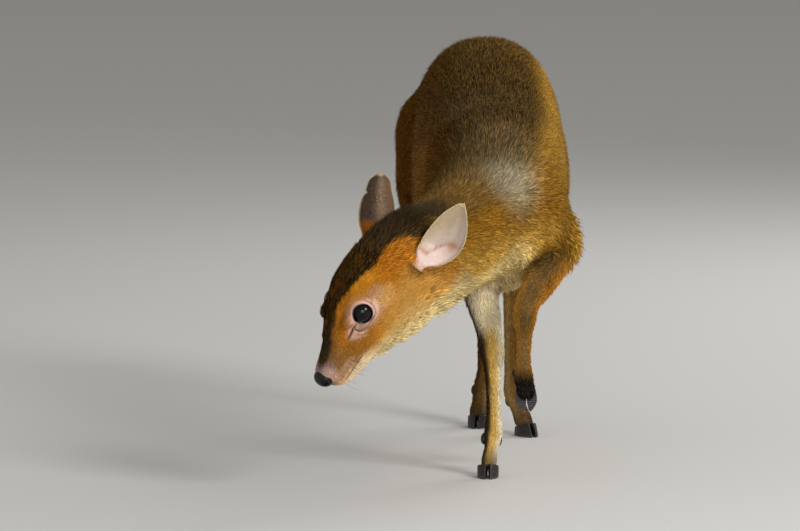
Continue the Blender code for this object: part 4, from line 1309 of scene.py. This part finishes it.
def grown_area(mesh, name):
    """The skin's area in square metres, weighted by where this kind of hair grows."""
    mesh.calc_loop_triangles()
    corners = np.empty(len(mesh.loop_triangles) * 3, int)
    mesh.loop_triangles.foreach_get("vertices", corners)
    areas = np.empty(len(mesh.loop_triangles))
    mesh.loop_triangles.foreach_get("area", areas)
    share = np.empty(len(mesh.vertices))
    mesh.attributes[name].data.foreach_get("value", share)
    return float((areas * share[corners.reshape(-1, 3)].mean(1)).sum())


# What a grown piece keeps of its attributes
KEPT = {
    "position", "OFBake", "coat_colour", "tone", "tip", "grizzle",
    ".corner_vert", ".corner_edge", ".edge_verts",
}


def grow(name, ground, tufts, **values):
    """Grows and paints a piece of coat of about this many tufts, by the values of its inputs."""
    base = link(name, ground.data.copy())
    tree = bpy.data.node_groups.get("coat") or coat_tree()
    modifier = base.modifiers.new("coat", "NODES")
    modifier.node_group = tree
    area = max(grown_area(ground.data, values["Grows"]), 1e-6)
    values = {**values, "Tufts per Square Metre": tufts / area, "Hair": material("coat_hair")}
    for socket in tree.interface.items_tree:
        if socket.in_out == "INPUT" and socket.name in values:
            modifier[socket.identifier] = values[socket.name]
    evaluated(base)
    kept = base.data.attributes
    for extra in [a.name for a in kept if a.name not in KEPT and not a.is_internal]:
        if extra in kept and not kept[extra].is_required:
            kept.remove(kept[extra])
    settle(base, "coat_hair")


# Materials


def material(name):
    """The surface of that name, made from its row of SURFACES when it is first asked for."""
    made = bpy.data.materials.get(name)
    if made:
        return made
    made = bpy.data.materials.new(name)
    made.use_nodes = True
    tree = made.node_tree
    shader = tree.nodes["Principled BSDF"].inputs
    paint, roughness, specular, others = SURFACES[name]
    values = {"Roughness": roughness, "Specular IOR Level": specular, **others}
    for key, value in values.items():
        shader[key].default_value = value
    colour = paint(tree, shader)
    if hasattr(colour, "is_linked"):
        tree.links.new(colour, shader["Base Color"])
    else:
        shader["Base Color"].default_value = (*colour, 1)
    return made


def attribute(tree, name, output="Fac"):
    return node(tree, "ShaderNodeAttribute", attribute_name=name)[output]


def object_place(tree):
    return node(tree, "ShaderNodeTexCoord")["Object"]


def noise_of(tree, scale, detail=3.0):
    inputs = {"Vector": object_place(tree), "Scale": scale, "Detail": detail, "Roughness": 0.55}
    return node(tree, "ShaderNodeTexNoise", inputs)["Fac"]


def ranged(tree, value, low, high, to_low, to_high):
    inputs = {"From Min": low, "From Max": high, "To Min": to_low, "To Max": to_high}
    inputs["Value"] = value
    return node(tree, "ShaderNodeMapRange", inputs)["Result"]


def blended(tree, share, first, second, mode="MIX"):
    """Mixes two colours. Each is a socket or three numbers."""
    colours = [c if hasattr(c, "is_linked") else (*c, 1) for c in (first, second)]
    inputs = zip((0, 6, 7), (share, *colours))
    return node(tree, "ShaderNodeMix", inputs, data_type="RGBA", blend_type=mode)[2]


def bumped(tree, shader, height, distance, strength=1.0):
    inputs = {"Strength": strength, "Distance": distance, "Height": height}
    tree.links.new(node(tree, "ShaderNodeBump", inputs)["Normal"], shader["Normal"])


def scaled(tree, colour, factor):
    """A colour times a number from a socket."""
    return vector_maths(tree, "SCALE", colour, factor)


def hair_colour(tree, shader):
    """Banded hair: dark at its root, pale or golden short of its dark tip where it is grizzled."""
    tone, tip, grizzle = (attribute(tree, name) for name in ("tone", "tip", "grizzle"))
    patchy = ranged(tree, noise_of(tree, 34, 4.0), 0.3, 0.7, 0.86, 1.14)
    colour = scaled(tree, attribute(tree, "coat_colour", "Color"), patchy)
    colour = scaled(tree, colour, ranged(tree, tone, 0, 1, 0.84, 1.16))
    band = times(tree, ranged(tree, tip, 0.30, 0.62, 0, 1), ranged(tree, tip, 0.72, 1.0, 1, 0))
    light = times(tree, band, ranged(tree, tone, 0.35, 0.8, 0, 1), grizzle)
    pale = blended(tree, 0.25, colour, tint(184, 138, 58))
    pale = scaled(tree, pale, ranged(tree, tone, 0, 1, 1.4, 2.3))
    colour = blended(tree, light, colour, pale)
    dark = times(tree, ranged(tree, tip, 0.70, 1.0, 0, 1), ranged(tree, tone, 0.0, 0.45, 1, 0))
    colour = blended(tree, times(tree, dark, grizzle, 0.75), colour, tint(34, 26, 18))
    return scaled(tree, colour, ranged(tree, tip, 0.0, 0.35, 0.72, 1.0))


def skin_colour(tree, shader):
    """Skin under the coat: the coat's colours, mottled, and darker as painted shade where hair
    covers it.
    """
    # Painted shade: where hair covers the skin its colour is cut to 0.62, so the gaps between tufts
    # read as shadow
    shade = blended(tree, attribute(tree, "bare"), (0.62, 0.62, 0.62), (1.0, 1.0, 1.0))
    colour = blended(tree, 1.0, attribute(tree, "coat_colour", "Color"), shade, "MULTIPLY")
    fine = noise_of(tree, 900, 2.0)
    bumped(tree, shader, fine, 0.0002, 0.5)
    return scaled(tree, colour, ranged(tree, fine, 0.3, 0.7, 0.86, 1.12))


def eye_colour(tree, shader):
    """A wet, almost black eye: a dark brown iris about a wide black pupil."""
    pupil, iris = (0.0018, 0.0018, 0.0022), (0.0060, 0.0035, 0.0025)
    return blended(tree, attribute(tree, "iris"), pupil, iris)


def nose_colour(tree, shader):
    """Moist black pebbled skin, browner on top."""
    inputs = {"Vector": object_place(tree), "Scale": 620}
    cells = node(tree, "ShaderNodeTexVoronoi", inputs, feature="DISTANCE_TO_EDGE")["Distance"]
    bumped(tree, shader, ranged(tree, cells, 0.0, 0.25, 0, 1), 0.0004, 0.7)
    return blended(tree, attribute(tree, "top"), (0.0035, 0.003, 0.003), (0.012, 0.009, 0.008))


def ear_colour(tree, shader):
    """Thin skin: pale pink inside, brown outside, with a cream edge."""
    bumped(tree, shader, noise_of(tree, 700, 2.0), 0.0002, 0.5)
    patchy = ranged(tree, noise_of(tree, 260, 3.0), 0.3, 0.7, 0.92, 1.07)
    return scaled(tree, attribute(tree, "coat_colour", "Color"), patchy)


def horn_colour(tree, shader):
    """Dull black horn with faint growth rings, worn paler at its lower edge."""
    inputs = {"Vector": object_place(tree), "Scale": 150, "Distortion": 1.5}
    settings = {"wave_type": "BANDS", "bands_direction": "Z"}
    rings = node(tree, "ShaderNodeTexWave", inputs, **settings)["Fac"]
    bumped(tree, shader, rings, 0.0003, 0.5)
    scuffs = ranged(tree, noise_of(tree, 320, 4.0), 0.5, 0.75, 0, 1)
    colour = blended(tree, scuffs, tint(22, 18, 16), tint(58, 50, 43))
    worn = ranged(tree, attribute(tree, "tip"), 0.0, 0.25, 0.45, 0)
    return blended(tree, worn, colour, tint(84, 74, 62))


def whisker_colour(tree, shader):
    return tint(70, 58, 48)


def floor_colour(tree, shader):
    return bpy.context.scene.muntjac_studio.floor


# Each surface: what makes its colour, roughness, specular level, and other fixed values
SURFACES = {
    "coat_hair": (hair_colour, 0.70, 0.03, {}),
    "skin": (skin_colour, 0.60, 0.35, {"Subsurface Weight": 0.05, "Subsurface Scale": 0.003}),
    "wet_eye": (eye_colour, 0.03, 0.22, {}),
    "nose_pad": (nose_colour, 0.34, 0.16, {"Coat Weight": 0.22, "Coat Roughness": 0.08}),
    "ear_leaf": (ear_colour, 0.55, 0.3, {"Subsurface Weight": 0.04, "Subsurface Scale": 0.003}),
    "horn": (horn_colour, 0.42, 0.45, {}),
    "whisker_hair": (whisker_colour, 0.5, 0.3, {}),
    "floor_paint": (floor_colour, 0.85, 0.2, {}),
}


# Finished pieces


def settle(item, paint, *nodes, slot=None):
    """Moves a finished piece into the model's frame, paints it, and lets it stand for its nodes."""
    item.data.transform(Matrix.Translation(SHIFT))
    item.data.materials.clear()
    item.data.materials.append(material(paint))
    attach(item, "root")
    if nodes:
        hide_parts(*nodes)


FLESH = [
    "torso", "neck", "tail", "head", "forearm_left", "forearm_right", "fore_shank_left",
    "fore_shank_right", "gaskin_left", "gaskin_right", "hind_shank_left", "hind_shank_right",
]


def model_shift():
    """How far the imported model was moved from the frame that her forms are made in."""
    low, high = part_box("eye_left")
    return (low + high) / 2 - in_head(*EYE_MIDDLE)


SHIFT = model_shift()


# How far the notch in the right ear reaches in, as a share of the ear's half width
NICK = 0.30


def ear_mesh(which):
    """A thin curved leaf with a hollow, ribbed inside."""
    root, stand, across, opening = ear_frame(which)
    bow_share = EARS[which][3]
    far = which == "right"
    sides, rings, marks = 25, [], []
    for share, half, cup, bow, full in through(EAR_STATIONS, 7):
        share = min(max(share, 0.0), 1.0)
        centre = root + stand * (share * EAR_LENGTH) + across * (bow * bow_share * EAR_HALF_WIDTH)
        blunt = 1 + 0.42 * math.exp(-(((share - 0.93) / 0.085) ** 2)) * far
        torn = 1 - NICK * math.exp(-(((share - 0.745) / 0.018) ** 2)) * far
        half, cup = half * EAR_HALF_WIDTH * blunt, cup * EAR_HALF_WIDTH
        hollow = min(max((1 - full) / 2, 0.0), 1.0)
        ring = []
        for inside, order in ((0.0, range(sides)), (1.0, range(sides - 2, 0, -1))):
            for i in order:
                angle = math.pi * (i / (sides - 1) - 0.5)
                wide = half * torn if i < 4 else half
                lift = -cup * math.cos(angle)
                if inside:
                    wide -= EAR_WALL * 0.35
                    closed = cup * 0.9 * math.cos(angle)
                    floor = EAR_WALL * 0.5 * (1 - math.cos(angle))
                    floor -= (cup - EAR_WALL) * math.cos(angle)
                    floor += ear_folds(share, math.sin(angle)) * hollow
                    lift = closed + (floor - closed) * hollow
                ring.append(centre + across * (wide * math.sin(angle)) + opening * lift)
                marks.append((share, math.sin(angle), inside))
        rings.append(ring)
    item = skin_rings(f"ear_{which}_skin", rings)
    marks += [(0.0, 0.0, 0.0), (1.0, 0.0, 0.5)]
    return item, np.array(marks)


def fold_line(share, across):
    """How far past the curved fold inside an ear a place lies, as a share of its length."""
    return share - 0.20 - 0.29 * (1 - np.exp(-np.maximum(across + 0.25, 0) / 0.28))


def ear_folds(share, across):
    """Height of the soft ribs and of the lobe that the curved fold ends."""
    ribs = 0.0006 * math.cos(across * 9) * math.exp(-(((share - 0.66) / 0.20) ** 2))
    lobe = float(ease(0.035, -0.035, fold_line(share, across)))
    return ribs + 0.0046 * lobe * math.exp(-(((share - 0.30) / 0.20) ** 2)) * (1 - across**4)


def ear_colours(which, marks):
    """Pale pink within, with painted shadow along the fold and beside it, a pinker lobe below it
    that is lighter as painted light, and a cream edge. The back is brown with a pale ridge.
    """
    share, across, inside = marks.T
    fold = fold_line(share, across)
    fold_shadow = bell(fold, 0.012, 0.028) * ease(0.12, 0.24, share)
    within = layered(
        plain((192, 174, 162), marks),
        ((162, 142, 106), ease(0.35, 0.95, share - 0.35 * across) * 0.8),
        # The lobe below the fold is pinker, and lighter as painted light
        ((208, 184, 174), ease(0.04, -0.04, fold)),
        ((214, 170, 178), ease(0.16, 0.04, share) * ease(0.2, -0.6, across) * 0.6),
        # Painted shadow along the fold, then painted shade in the hollow beside it
        ((174, 124, 96), fold_shadow * ease(0.9, 0.6, across) * 0.9),
        ((166, 126, 92), bell(across, 0.52, 0.26) * bell(share, 0.46, 0.07) * 0.8),
    )
    back = layered(
        plain((132, 104, 80), marks),
        ((66, 54, 44), ease(-0.05, -0.55, across) * 0.85),
        ((158, 130, 104), bell(across, 0.04, 0.26) * 0.6),
        ((186, 108, 30), ease(0.46, 0.26, share)),
    )
    colour = over(back, 0, inside) + within * inside[:, None]
    edge = np.abs(across)
    rim = ease(0.965, 0.995, edge) * ease(0.10, 0.20, share) + ease(0.955, 0.99, share)
    root = ease(0.13, 0.05, share) * (1 - inside * ease(0.95, 0.75, edge))
    return layered(colour, ((180, 120, 52), root), ((222, 204, 158), rim * 0.85))


def made_ear(which):
    item, marks = ear_mesh(which)
    item.data.shade_smooth()
    share, across, inside = marks.T
    stand = ear_frame(which)[1]
    way = flat_to(directions(item.data), np.tile(np.array(stand), (len(marks), 1)))
    rim = ease(0.90, 0.99, np.abs(across)) * 0.6
    low = ease(0.36, 0.10, share) * (1 - inside)
    put_attributes(
        item.data,
        coat_colour=ear_colours(which, marks),
        lie=unit(way),
        coat_length=0.0026 + 0.0050 * ease(0.34, 0.05, share),
        coat_lift=np.full(len(marks), math.radians(10)),
        grizzle=np.full(len(marks), 0.1),
        grow_ear=np.clip(0.9 * (1 - inside) + rim * (1 - 0.6 * inside) + low, 0, 1),
    )
    unwrap(item)
    return item


def made_nose():
    """The bare pad at the end of the muzzle, with comma-shaped nostrils."""
    nose = ball("nose_pad", HEAD, at(NOSE_PAD[0]), NOSE_PAD[1], 72, 48)
    (out, forward, up), sizes = NOSTRIL
    cuts = []
    for side in (-1, 1):
        place = Matrix.Translation(at((out * side, forward, up)))
        turn = Matrix.Rotation(-0.5 * side, 4, "Z")
        cuts.append(ball("nostril", HEAD @ place @ turn, Vector(), sizes, 24, 16))
    nose = boolean(nose, cuts, "DIFFERENCE")
    nose.data.shade_smooth()
    put_attributes(nose.data, top=ease(0.0015, 0.0050, Surface(nose.data).up))
    unwrap(nose)
    return nose


def made_eye(which):
    side = EARS[which][0]
    item = eye_ball(f"eye_{which}_ball", side, -EYE_LESS, 64, 48)
    item.data.shade_smooth()
    centre, look = (np.array(found) for found in eye_place(side))
    long_way = np.array(head_way(0, 1, -0.42))
    rows = places(item.data) - centre
    along = rows @ long_way
    rise = (rows - np.outer(rows @ look, look) - np.outer(along, long_way)) / PUPIL[1]
    away = np.sqrt((along / PUPIL[0]) ** 2 + (rise**2).sum(1))
    put_attributes(item.data, iris=ease(0.9, 1.1, away))
    unwrap(item)
    return item


# Where each foot's sole lies, the way its toe points, and the way its top faces
FEET = {
    "fore_right": (Vector((-0.0192, -0.018, 0)), Vector((-0.10, -1, 0)), UP),
    "fore_left": (
        Vector((0.0277, 0.0465, 0.0800)),
        Vector((0.09, 0.30, -0.95)),
        Vector((-0.06, -0.95, -0.30)),
    ),
    "hind_left": (Vector((0.049, 0.314, 0)), Vector((0.42, -0.91, 0)), UP),
    "hind_right": (Vector((-0.003, 0.394, 0)), Vector((-0.18, -0.97, 0)), UP),
}


# A claw's outline at each share of its height: length, width, and how far back it lies
CLAW_STATIONS = [
    (0.0, 0.985, 0.88, 0.0), (0.05, 1.0, 0.96, 0.0), (0.14, 1.0, 1.0, 0.0),
    (0.55, 0.86, 1.02, -0.04), (0.90, 0.75, 1.0, -0.065), (1.0, 0.70, 0.94, -0.07),
]


def claw(name, foot, side):
    """Half of a cloven hoof, flat on its sole. side is 1 for the one towards her left."""
    sole, toe, top = FEET[foot]
    toe = toe.normalized()
    top = (top - toe * top.dot(toe)).normalized()
    across = top.cross(toe)
    rings, rises = [], []
    for rise, length, width, shift in through(CLAW_STATIONS, 4):
        ring = []
        for i in range(40):
            angle = 2 * math.pi * i / 40
            c, s = math.cos(angle), math.sin(angle)
            along = HOOF_LENGTH * (shift + length * 0.5 * c)
            half = CLAW_WIDTH * 0.5 * width * (1 - 0.42 * max(0.0, c) ** 2.2)
            out = side * CLAW_SPACING / 2 + half * s - side * CLAW_CLOSING * max(0.0, c) ** 2
            height = max(rise, 0) * (CORONET_HEIGHT + CORONET_SLOPE * along)
            ring.append(sole + toe * along + across * out + top * height)
            rises.append(max(rise, 0.0))
        rings.append(ring)
    item = skin_rings(name, rings)
    item.data.shade_smooth()
    put_attributes(item.data, tip=np.array([*rises, 0.0, 1.0]))
    item.data.set_sharp_from_angle(angle=math.radians(40))
    return item


def dewclaw(name, foot, side):
    """One of the two small claws behind a fetlock."""
    i = int(DEWCLAW_SHARE)
    above, below = (Vector(row[:3]) for row in LEGS[foot][i : i + 2])
    joint = above.lerp(below, DEWCLAW_SHARE - i)
    along = (below - above).normalized()
    back = (REAR - along * REAR.dot(along)).normalized()
    centre = joint + back * 0.0095 - back.cross(along) * (DEWCLAW_SPREAD * side)
    turn = along.to_track_quat("Z", "Y").to_matrix().to_4x4()
    item = ball(name, Matrix.Translation(centre) @ turn, Vector(), DEWCLAW_SIZES, 24, 16)
    item.data.shade_smooth()
    put_attributes(item.data, tip=np.full(len(item.data.vertices), 0.6))
    return item


def hairs(name, rows, sides=5):
    """Fine tapered hairs. Each row is (root, direction, length, thickness, droop)."""
    shape = bmesh.new()
    for root, way, length, thick, droop in rows:
        over_way = way.cross(UP).normalized()
        up_way = over_way.cross(way)
        rings = []
        for k in range(7):
            t = k / 6
            place = root + way * (length * t) + droop * (t * t * length)
            size = thick * (1 - t) ** 0.8 + 0.00003
            ring = []
            for i in range(sides):
                angle = 2 * math.pi * i / sides
                offset = over_way * (size * math.cos(angle)) + up_way * (size * math.sin(angle))
                ring.append(shape.verts.new(place + offset))
            rings.append(ring)
        for low, high in zip(rings[:-1], rings[1:]):
            for i in range(sides):
                n = (i + 1) % sides
                shape.faces.new((low[i], low[n], high[n], high[i]))
        shape.faces.new(rings[0][::-1])
        shape.faces.new(rings[-1])
    bmesh.ops.recalc_face_normals(shape, faces=shape.faces)
    made = object_of(name, shape)
    made.data.shade_smooth()
    return made


# Settings


class MuntjacCoatSettings(bpy.types.PropertyGroup):
    """How thick and how long the coat is."""

    share: FloatProperty(
        name="Thickness", description="Share of the tufts that are grown",
        default=1.0, min=0.02, max=1.5,
    )
    length: FloatProperty(
        name="Length", description="Hair length, as a share of the doe's own",
        default=1.0, min=0.3, max=2.0,
    )
    width: FloatProperty(
        name="Tuft Width", description="Width of a tuft of the body's coat",
        default=0.0015, min=0.0005, max=0.005, unit="LENGTH",
    )
    seed: IntProperty(
        name="Seed", description="Changes where each tuft grows", default=4, min=0
    )


class MuntjacStudioSettings(bpy.types.PropertyGroup):
    """The floor, lights and camera."""

    floor: FloatVectorProperty(
        name="Floor", description="Colour of the floor",
        default=(0.62, 0.61, 0.59), subtype="COLOR", min=0, max=1,
    )
    key: FloatProperty(
        name="Key Light", description="Power of the main light",
        default=90.0, min=0, unit="POWER",
    )
    fill: FloatProperty(
        name="Fill Light", description="Power of the fill light",
        default=78.0, min=0, unit="POWER",
    )
    lens: FloatProperty(
        name="Lens", description="Focal length of the camera in millimetres",
        default=245.4545, min=20,
    )


# Operators


class MUNTJAC_OT_skin(bpy.types.Operator):
    """Makes the skin with its lids, mouth and markings"""

    bl_idname = "muntjac.skin"
    bl_label = "Make Skin"

    def execute(self, context):
        skin = skin_object()
        ground = link("coat_ground", skin.data.copy())
        ground.hide_render = True
        settle(skin, "skin", *FLESH, slot="brown_coat")
        return {"FINISHED"}


class MUNTJAC_OT_eyes(bpy.types.Operator):
    """Makes the two eyes"""

    bl_idname = "muntjac.eyes"
    bl_label = "Make Eyes"

    def execute(self, context):
        for which in EARS:
            settle(made_eye(which), "wet_eye", f"eye_{which}", slot="eye_gloss")
        return {"FINISHED"}


class MUNTJAC_OT_ears(bpy.types.Operator):
    """Makes the two ears and their short hair"""

    bl_idname = "muntjac.ears"
    bl_label = "Make Ears"

    def execute(self, context):
        coat = context.scene.muntjac_coat
        pattern = hair_pattern("ear_tuft", [(0.0, 1.0)], 0.0)
        for which in EARS:
            ear = made_ear(which)
            grow(
                f"coat_ear_{which}", ear, int(EAR_TUFTS * coat.share),
                Grows="grow_ear", Tuft=pattern, Width=EAR_TUFT_WIDTH, Length=coat.length,
                Lift=1.0, Disorder=0.14, Seed=coat.seed,
            )
            settle(ear, "ear_leaf", f"ear_{which}", slot="ear_skin")
        bpy.data.objects.remove(pattern)
        return {"FINISHED"}


class MUNTJAC_OT_nose(bpy.types.Operator):
    """Makes the nose pad"""

    bl_idname = "muntjac.nose"
    bl_label = "Make Nose"

    def execute(self, context):
        settle(made_nose(), "nose_pad", "nose", slot="nose_skin")
        return {"FINISHED"}


class MUNTJAC_OT_hooves(bpy.types.Operator):
    """Makes the hooves and the small claws behind the fetlocks"""

    bl_idname = "muntjac.hooves"
    bl_label = "Make Hooves"

    def execute(self, context):
        for foot in FEET:
            outwards = 1 if "left" in foot else -1
            for place, side in (("outer", outwards), ("inner", -outwards)):
                name = f"{foot}_{place}"
                large = claw(f"claw_{name}", foot, side)
                settle(large, "horn", f"hoof_{name}", slot="hoof_horn")
                small = dewclaw(f"small_claw_{name}", foot, side)
                settle(small, "horn", f"dewclaw_{name}", slot="hoof_horn")
        return {"FINISHED"}


# Coat pieces: name, where it grows, tufts, width share, length share, lift share, disorder, seed,
# and the kind of tuft
COAT_PIECES = (
    ("coat_trunk_under", "grow_trunk", 39000, 1.00, 0.95, 0.9, 0.14, 1, "short"),
    ("coat_trunk_middle", "grow_trunk", 44000, 0.75, 1.0, 1.1, 0.16, 2, "short"),
    ("coat_trunk_over", "grow_trunk", 49000, 0.70, 1.0, 1.2, 0.18, 3, "short"),
    ("coat_trunk_top", "grow_trunk", 49000, 0.62, 1.05, 1.5, 0.22, 4, "short"),
    ("coat_neck", "grow_neck", 49000, 0.70, 1.0, 1.2, 0.18, 5, "short"),
    ("coat_face", "grow_face", 49500, 0.38, 1.0, 1.0, 0.16, 6, "short"),
    ("coat_limbs", "grow_limbs", 42000, 0.50, 1.0, 1.0, 0.16, 7, "short"),
    ("coat_tail", "grow_tail", 4500, 1.5, 1.0, 1.0, 0.25, 8, "long"),
    ("coat_fringe", "grow_fringe", 9000, 0.85, 1.35, 2.1, 0.30, 9, "long"),
)


EAR_TUFTS = 13000
EAR_TUFT_WIDTH = 0.00034


class MUNTJAC_OT_coat(bpy.types.Operator):
    """Grows the coat over the skin, piece by piece"""

    bl_idname = "muntjac.coat"
    bl_label = "Grow Coat"

    def execute(self, context):
        coat = context.scene.muntjac_coat
        ground = bpy.data.objects["coat_ground"]
        patterns = {
            "short": hair_pattern("short_tuft", [(0.0, 1.0)], 0.0),
            "long": hair_pattern("long_tuft", [(0.0, 0.9), (0.5, 1.0)], 0.10),
        }
        quick = 1.0
        for name, grows, tufts, width, length, lift, disorder, seed, kind in COAT_PIECES:
            grow(
                name, ground, tufts * coat.share * quick,
                Grows=grows, Tuft=patterns[kind], Width=coat.width * width / math.sqrt(quick),
                Length=coat.length * length, Lift=lift, Disorder=disorder, Seed=coat.seed + seed,
            )
        for item in (*patterns.values(), ground):
            bpy.data.objects.remove(item)
        return {"FINISHED"}


class MUNTJAC_OT_whiskers(bpy.types.Operator):
    """Makes the whiskers of lips and chin"""

    bl_idname = "muntjac.whiskers"
    bl_label = "Make Whiskers"

    def execute(self, context):
        rng = np.random.default_rng(11)
        draw = rng.uniform
        lip_droop, chin_droop = head_way(0, -0.3, -0.4) * 0.3, head_way(0, -0.5, 0) * 0.3
        rows = []
        for side in (-1, 1):
            for _ in range(12):
                root = in_head(0.0125 * side, draw(0.145, 0.174), draw(-0.016, -0.003))
                way = head_way(side * draw(0.7, 1.0), draw(-0.1, 0.5), draw(-0.6, 0.1))
                rows.append((root, way, draw(0.014, 0.026), 0.00013, lip_droop))
            for _ in range(9):
                root = in_head(0.006 * side, draw(0.140, 0.168), -0.026)
                way = head_way(side * draw(0.1, 0.6), draw(-0.2, 0.4), -1.0)
                rows.append((root, way, draw(0.010, 0.018), 0.00011, chin_droop))
        whiskers = hairs("whiskers", rows)
        unwrap(whiskers)
        settle(whiskers, "whisker_hair")
        return {"FINISHED"}


def made_floor(reach=14.0, depth=9.0, bend=3.0, height=12):
    """A floor that bends up into a wall behind her."""
    mesh = bpy.data.meshes.new("floor")
    edge = [(-reach, 0)]
    for i in range(17):
        turn = math.pi / 2 * i / 16
        edge.append((depth + bend * math.sin(turn), bend * (1 - math.cos(turn))))
    edge.append((depth + bend, height))
    points = [(x, y, z) for y, z in edge for x in (-reach, reach)]
    faces = [(2 * i, 2 * i + 1, 2 * i + 3, 2 * i + 2) for i in range(len(edge) - 1)]
    mesh.from_pydata(points, [], faces)
    mesh.shade_smooth()
    mesh.materials.append(material("floor_paint"))
    return link("floor", mesh)


# The camera's place in the frame of her forms, and its azimuth and elevation
CAMERA_PLACE = Vector((-0.4255886, -5.92931381, 0.85635835))
CAMERA_TURN = (math.radians(-3), math.radians(6))
SKY_COLOUR = (1.0, 0.985, 0.96, 1)
SKY_STRENGTH = 0.42


class MUNTJAC_OT_studio(bpy.types.Operator):
    """Makes the pale floor, the soft lights and the camera"""

    bl_idname = "muntjac.studio"
    bl_label = "Make Studio"

    def execute(self, context):
        scene = context.scene
        studio = scene.muntjac_studio
        floor = made_floor()
        lamps = (
            ("key", (2.3, -2.7, 2.0), studio.key, 1.25),
            ("fill", (0.3, -3.9, 0.5), studio.fill, 2.2),
            ("rim", (1.6, 1.9, 1.9), studio.key * 0.32, 1.4),
        )
        for name, place, power, size in lamps:
            light = bpy.data.lights.new(name, "AREA")
            light.energy = power
            light.size = size
            lamp = link(name, light)
            lamp.location = place
            away = Vector((0, 0, 0.25)) - Vector(place)
            lamp.rotation_euler = away.to_track_quat("-Z", "Y").to_euler()
        world = bpy.data.worlds.new("studio")
        world.use_nodes = True
        sky = world.node_tree.nodes["Background"].inputs
        sky["Color"].default_value = SKY_COLOUR
        sky["Strength"].default_value = SKY_STRENGTH
        scene.world = world

        camera = link("camera", bpy.data.cameras.new("camera"))
        camera.data.lens = studio.lens
        camera.data.clip_start, camera.data.clip_end = 0.1, 60
        azimuth, elevation = CAMERA_TURN
        level = math.cos(elevation)
        back = (math.sin(azimuth) * level, -math.cos(azimuth) * level, math.sin(elevation))
        camera.location = CAMERA_PLACE + SHIFT
        camera.rotation_mode = "QUATERNION"
        camera.rotation_quaternion = (-Vector(back)).to_track_quat("-Z", "Y")
        scene.camera = camera
        scene.view_settings.view_transform = "Standard"
        return {"FINISHED"}


STEPS = (
    MUNTJAC_OT_skin,
    MUNTJAC_OT_eyes,
    MUNTJAC_OT_ears,
    MUNTJAC_OT_nose,
    MUNTJAC_OT_hooves,
    MUNTJAC_OT_coat,
    MUNTJAC_OT_whiskers,
    MUNTJAC_OT_studio,
)


class MUNTJAC_PT_panel(bpy.types.Panel):
    """Lists the doe's pieces"""

    bl_idname = "MUNTJAC_PT_panel"
    bl_label = "Muntjac Doe"
    bl_space_type = "VIEW_3D"
    bl_region_type = "UI"
    bl_category = "Muntjac"

    def draw(self, context):
        for settings in (context.scene.muntjac_coat, context.scene.muntjac_studio):
            for name in settings.__annotations__:
                self.layout.prop(settings, name)
        for step in STEPS:
            self.layout.operator(step.bl_idname)


CLASSES = (MuntjacCoatSettings, MuntjacStudioSettings, *STEPS, MUNTJAC_PT_panel)


def register():
    for entry in CLASSES:
        bpy.utils.register_class(entry)
    bpy.types.Scene.muntjac_coat = PointerProperty(type=MuntjacCoatSettings)
    bpy.types.Scene.muntjac_studio = PointerProperty(type=MuntjacStudioSettings)


def unregister():
    del bpy.types.Scene.muntjac_coat
    del bpy.types.Scene.muntjac_studio
    for entry in reversed(CLASSES):
        bpy.utils.unregister_class(entry)


def main():
    register()
    for step in STEPS:
        getattr(bpy.ops.muntjac, step.bl_idname.removeprefix("muntjac."))()


if __name__ == "__main__":
    main()
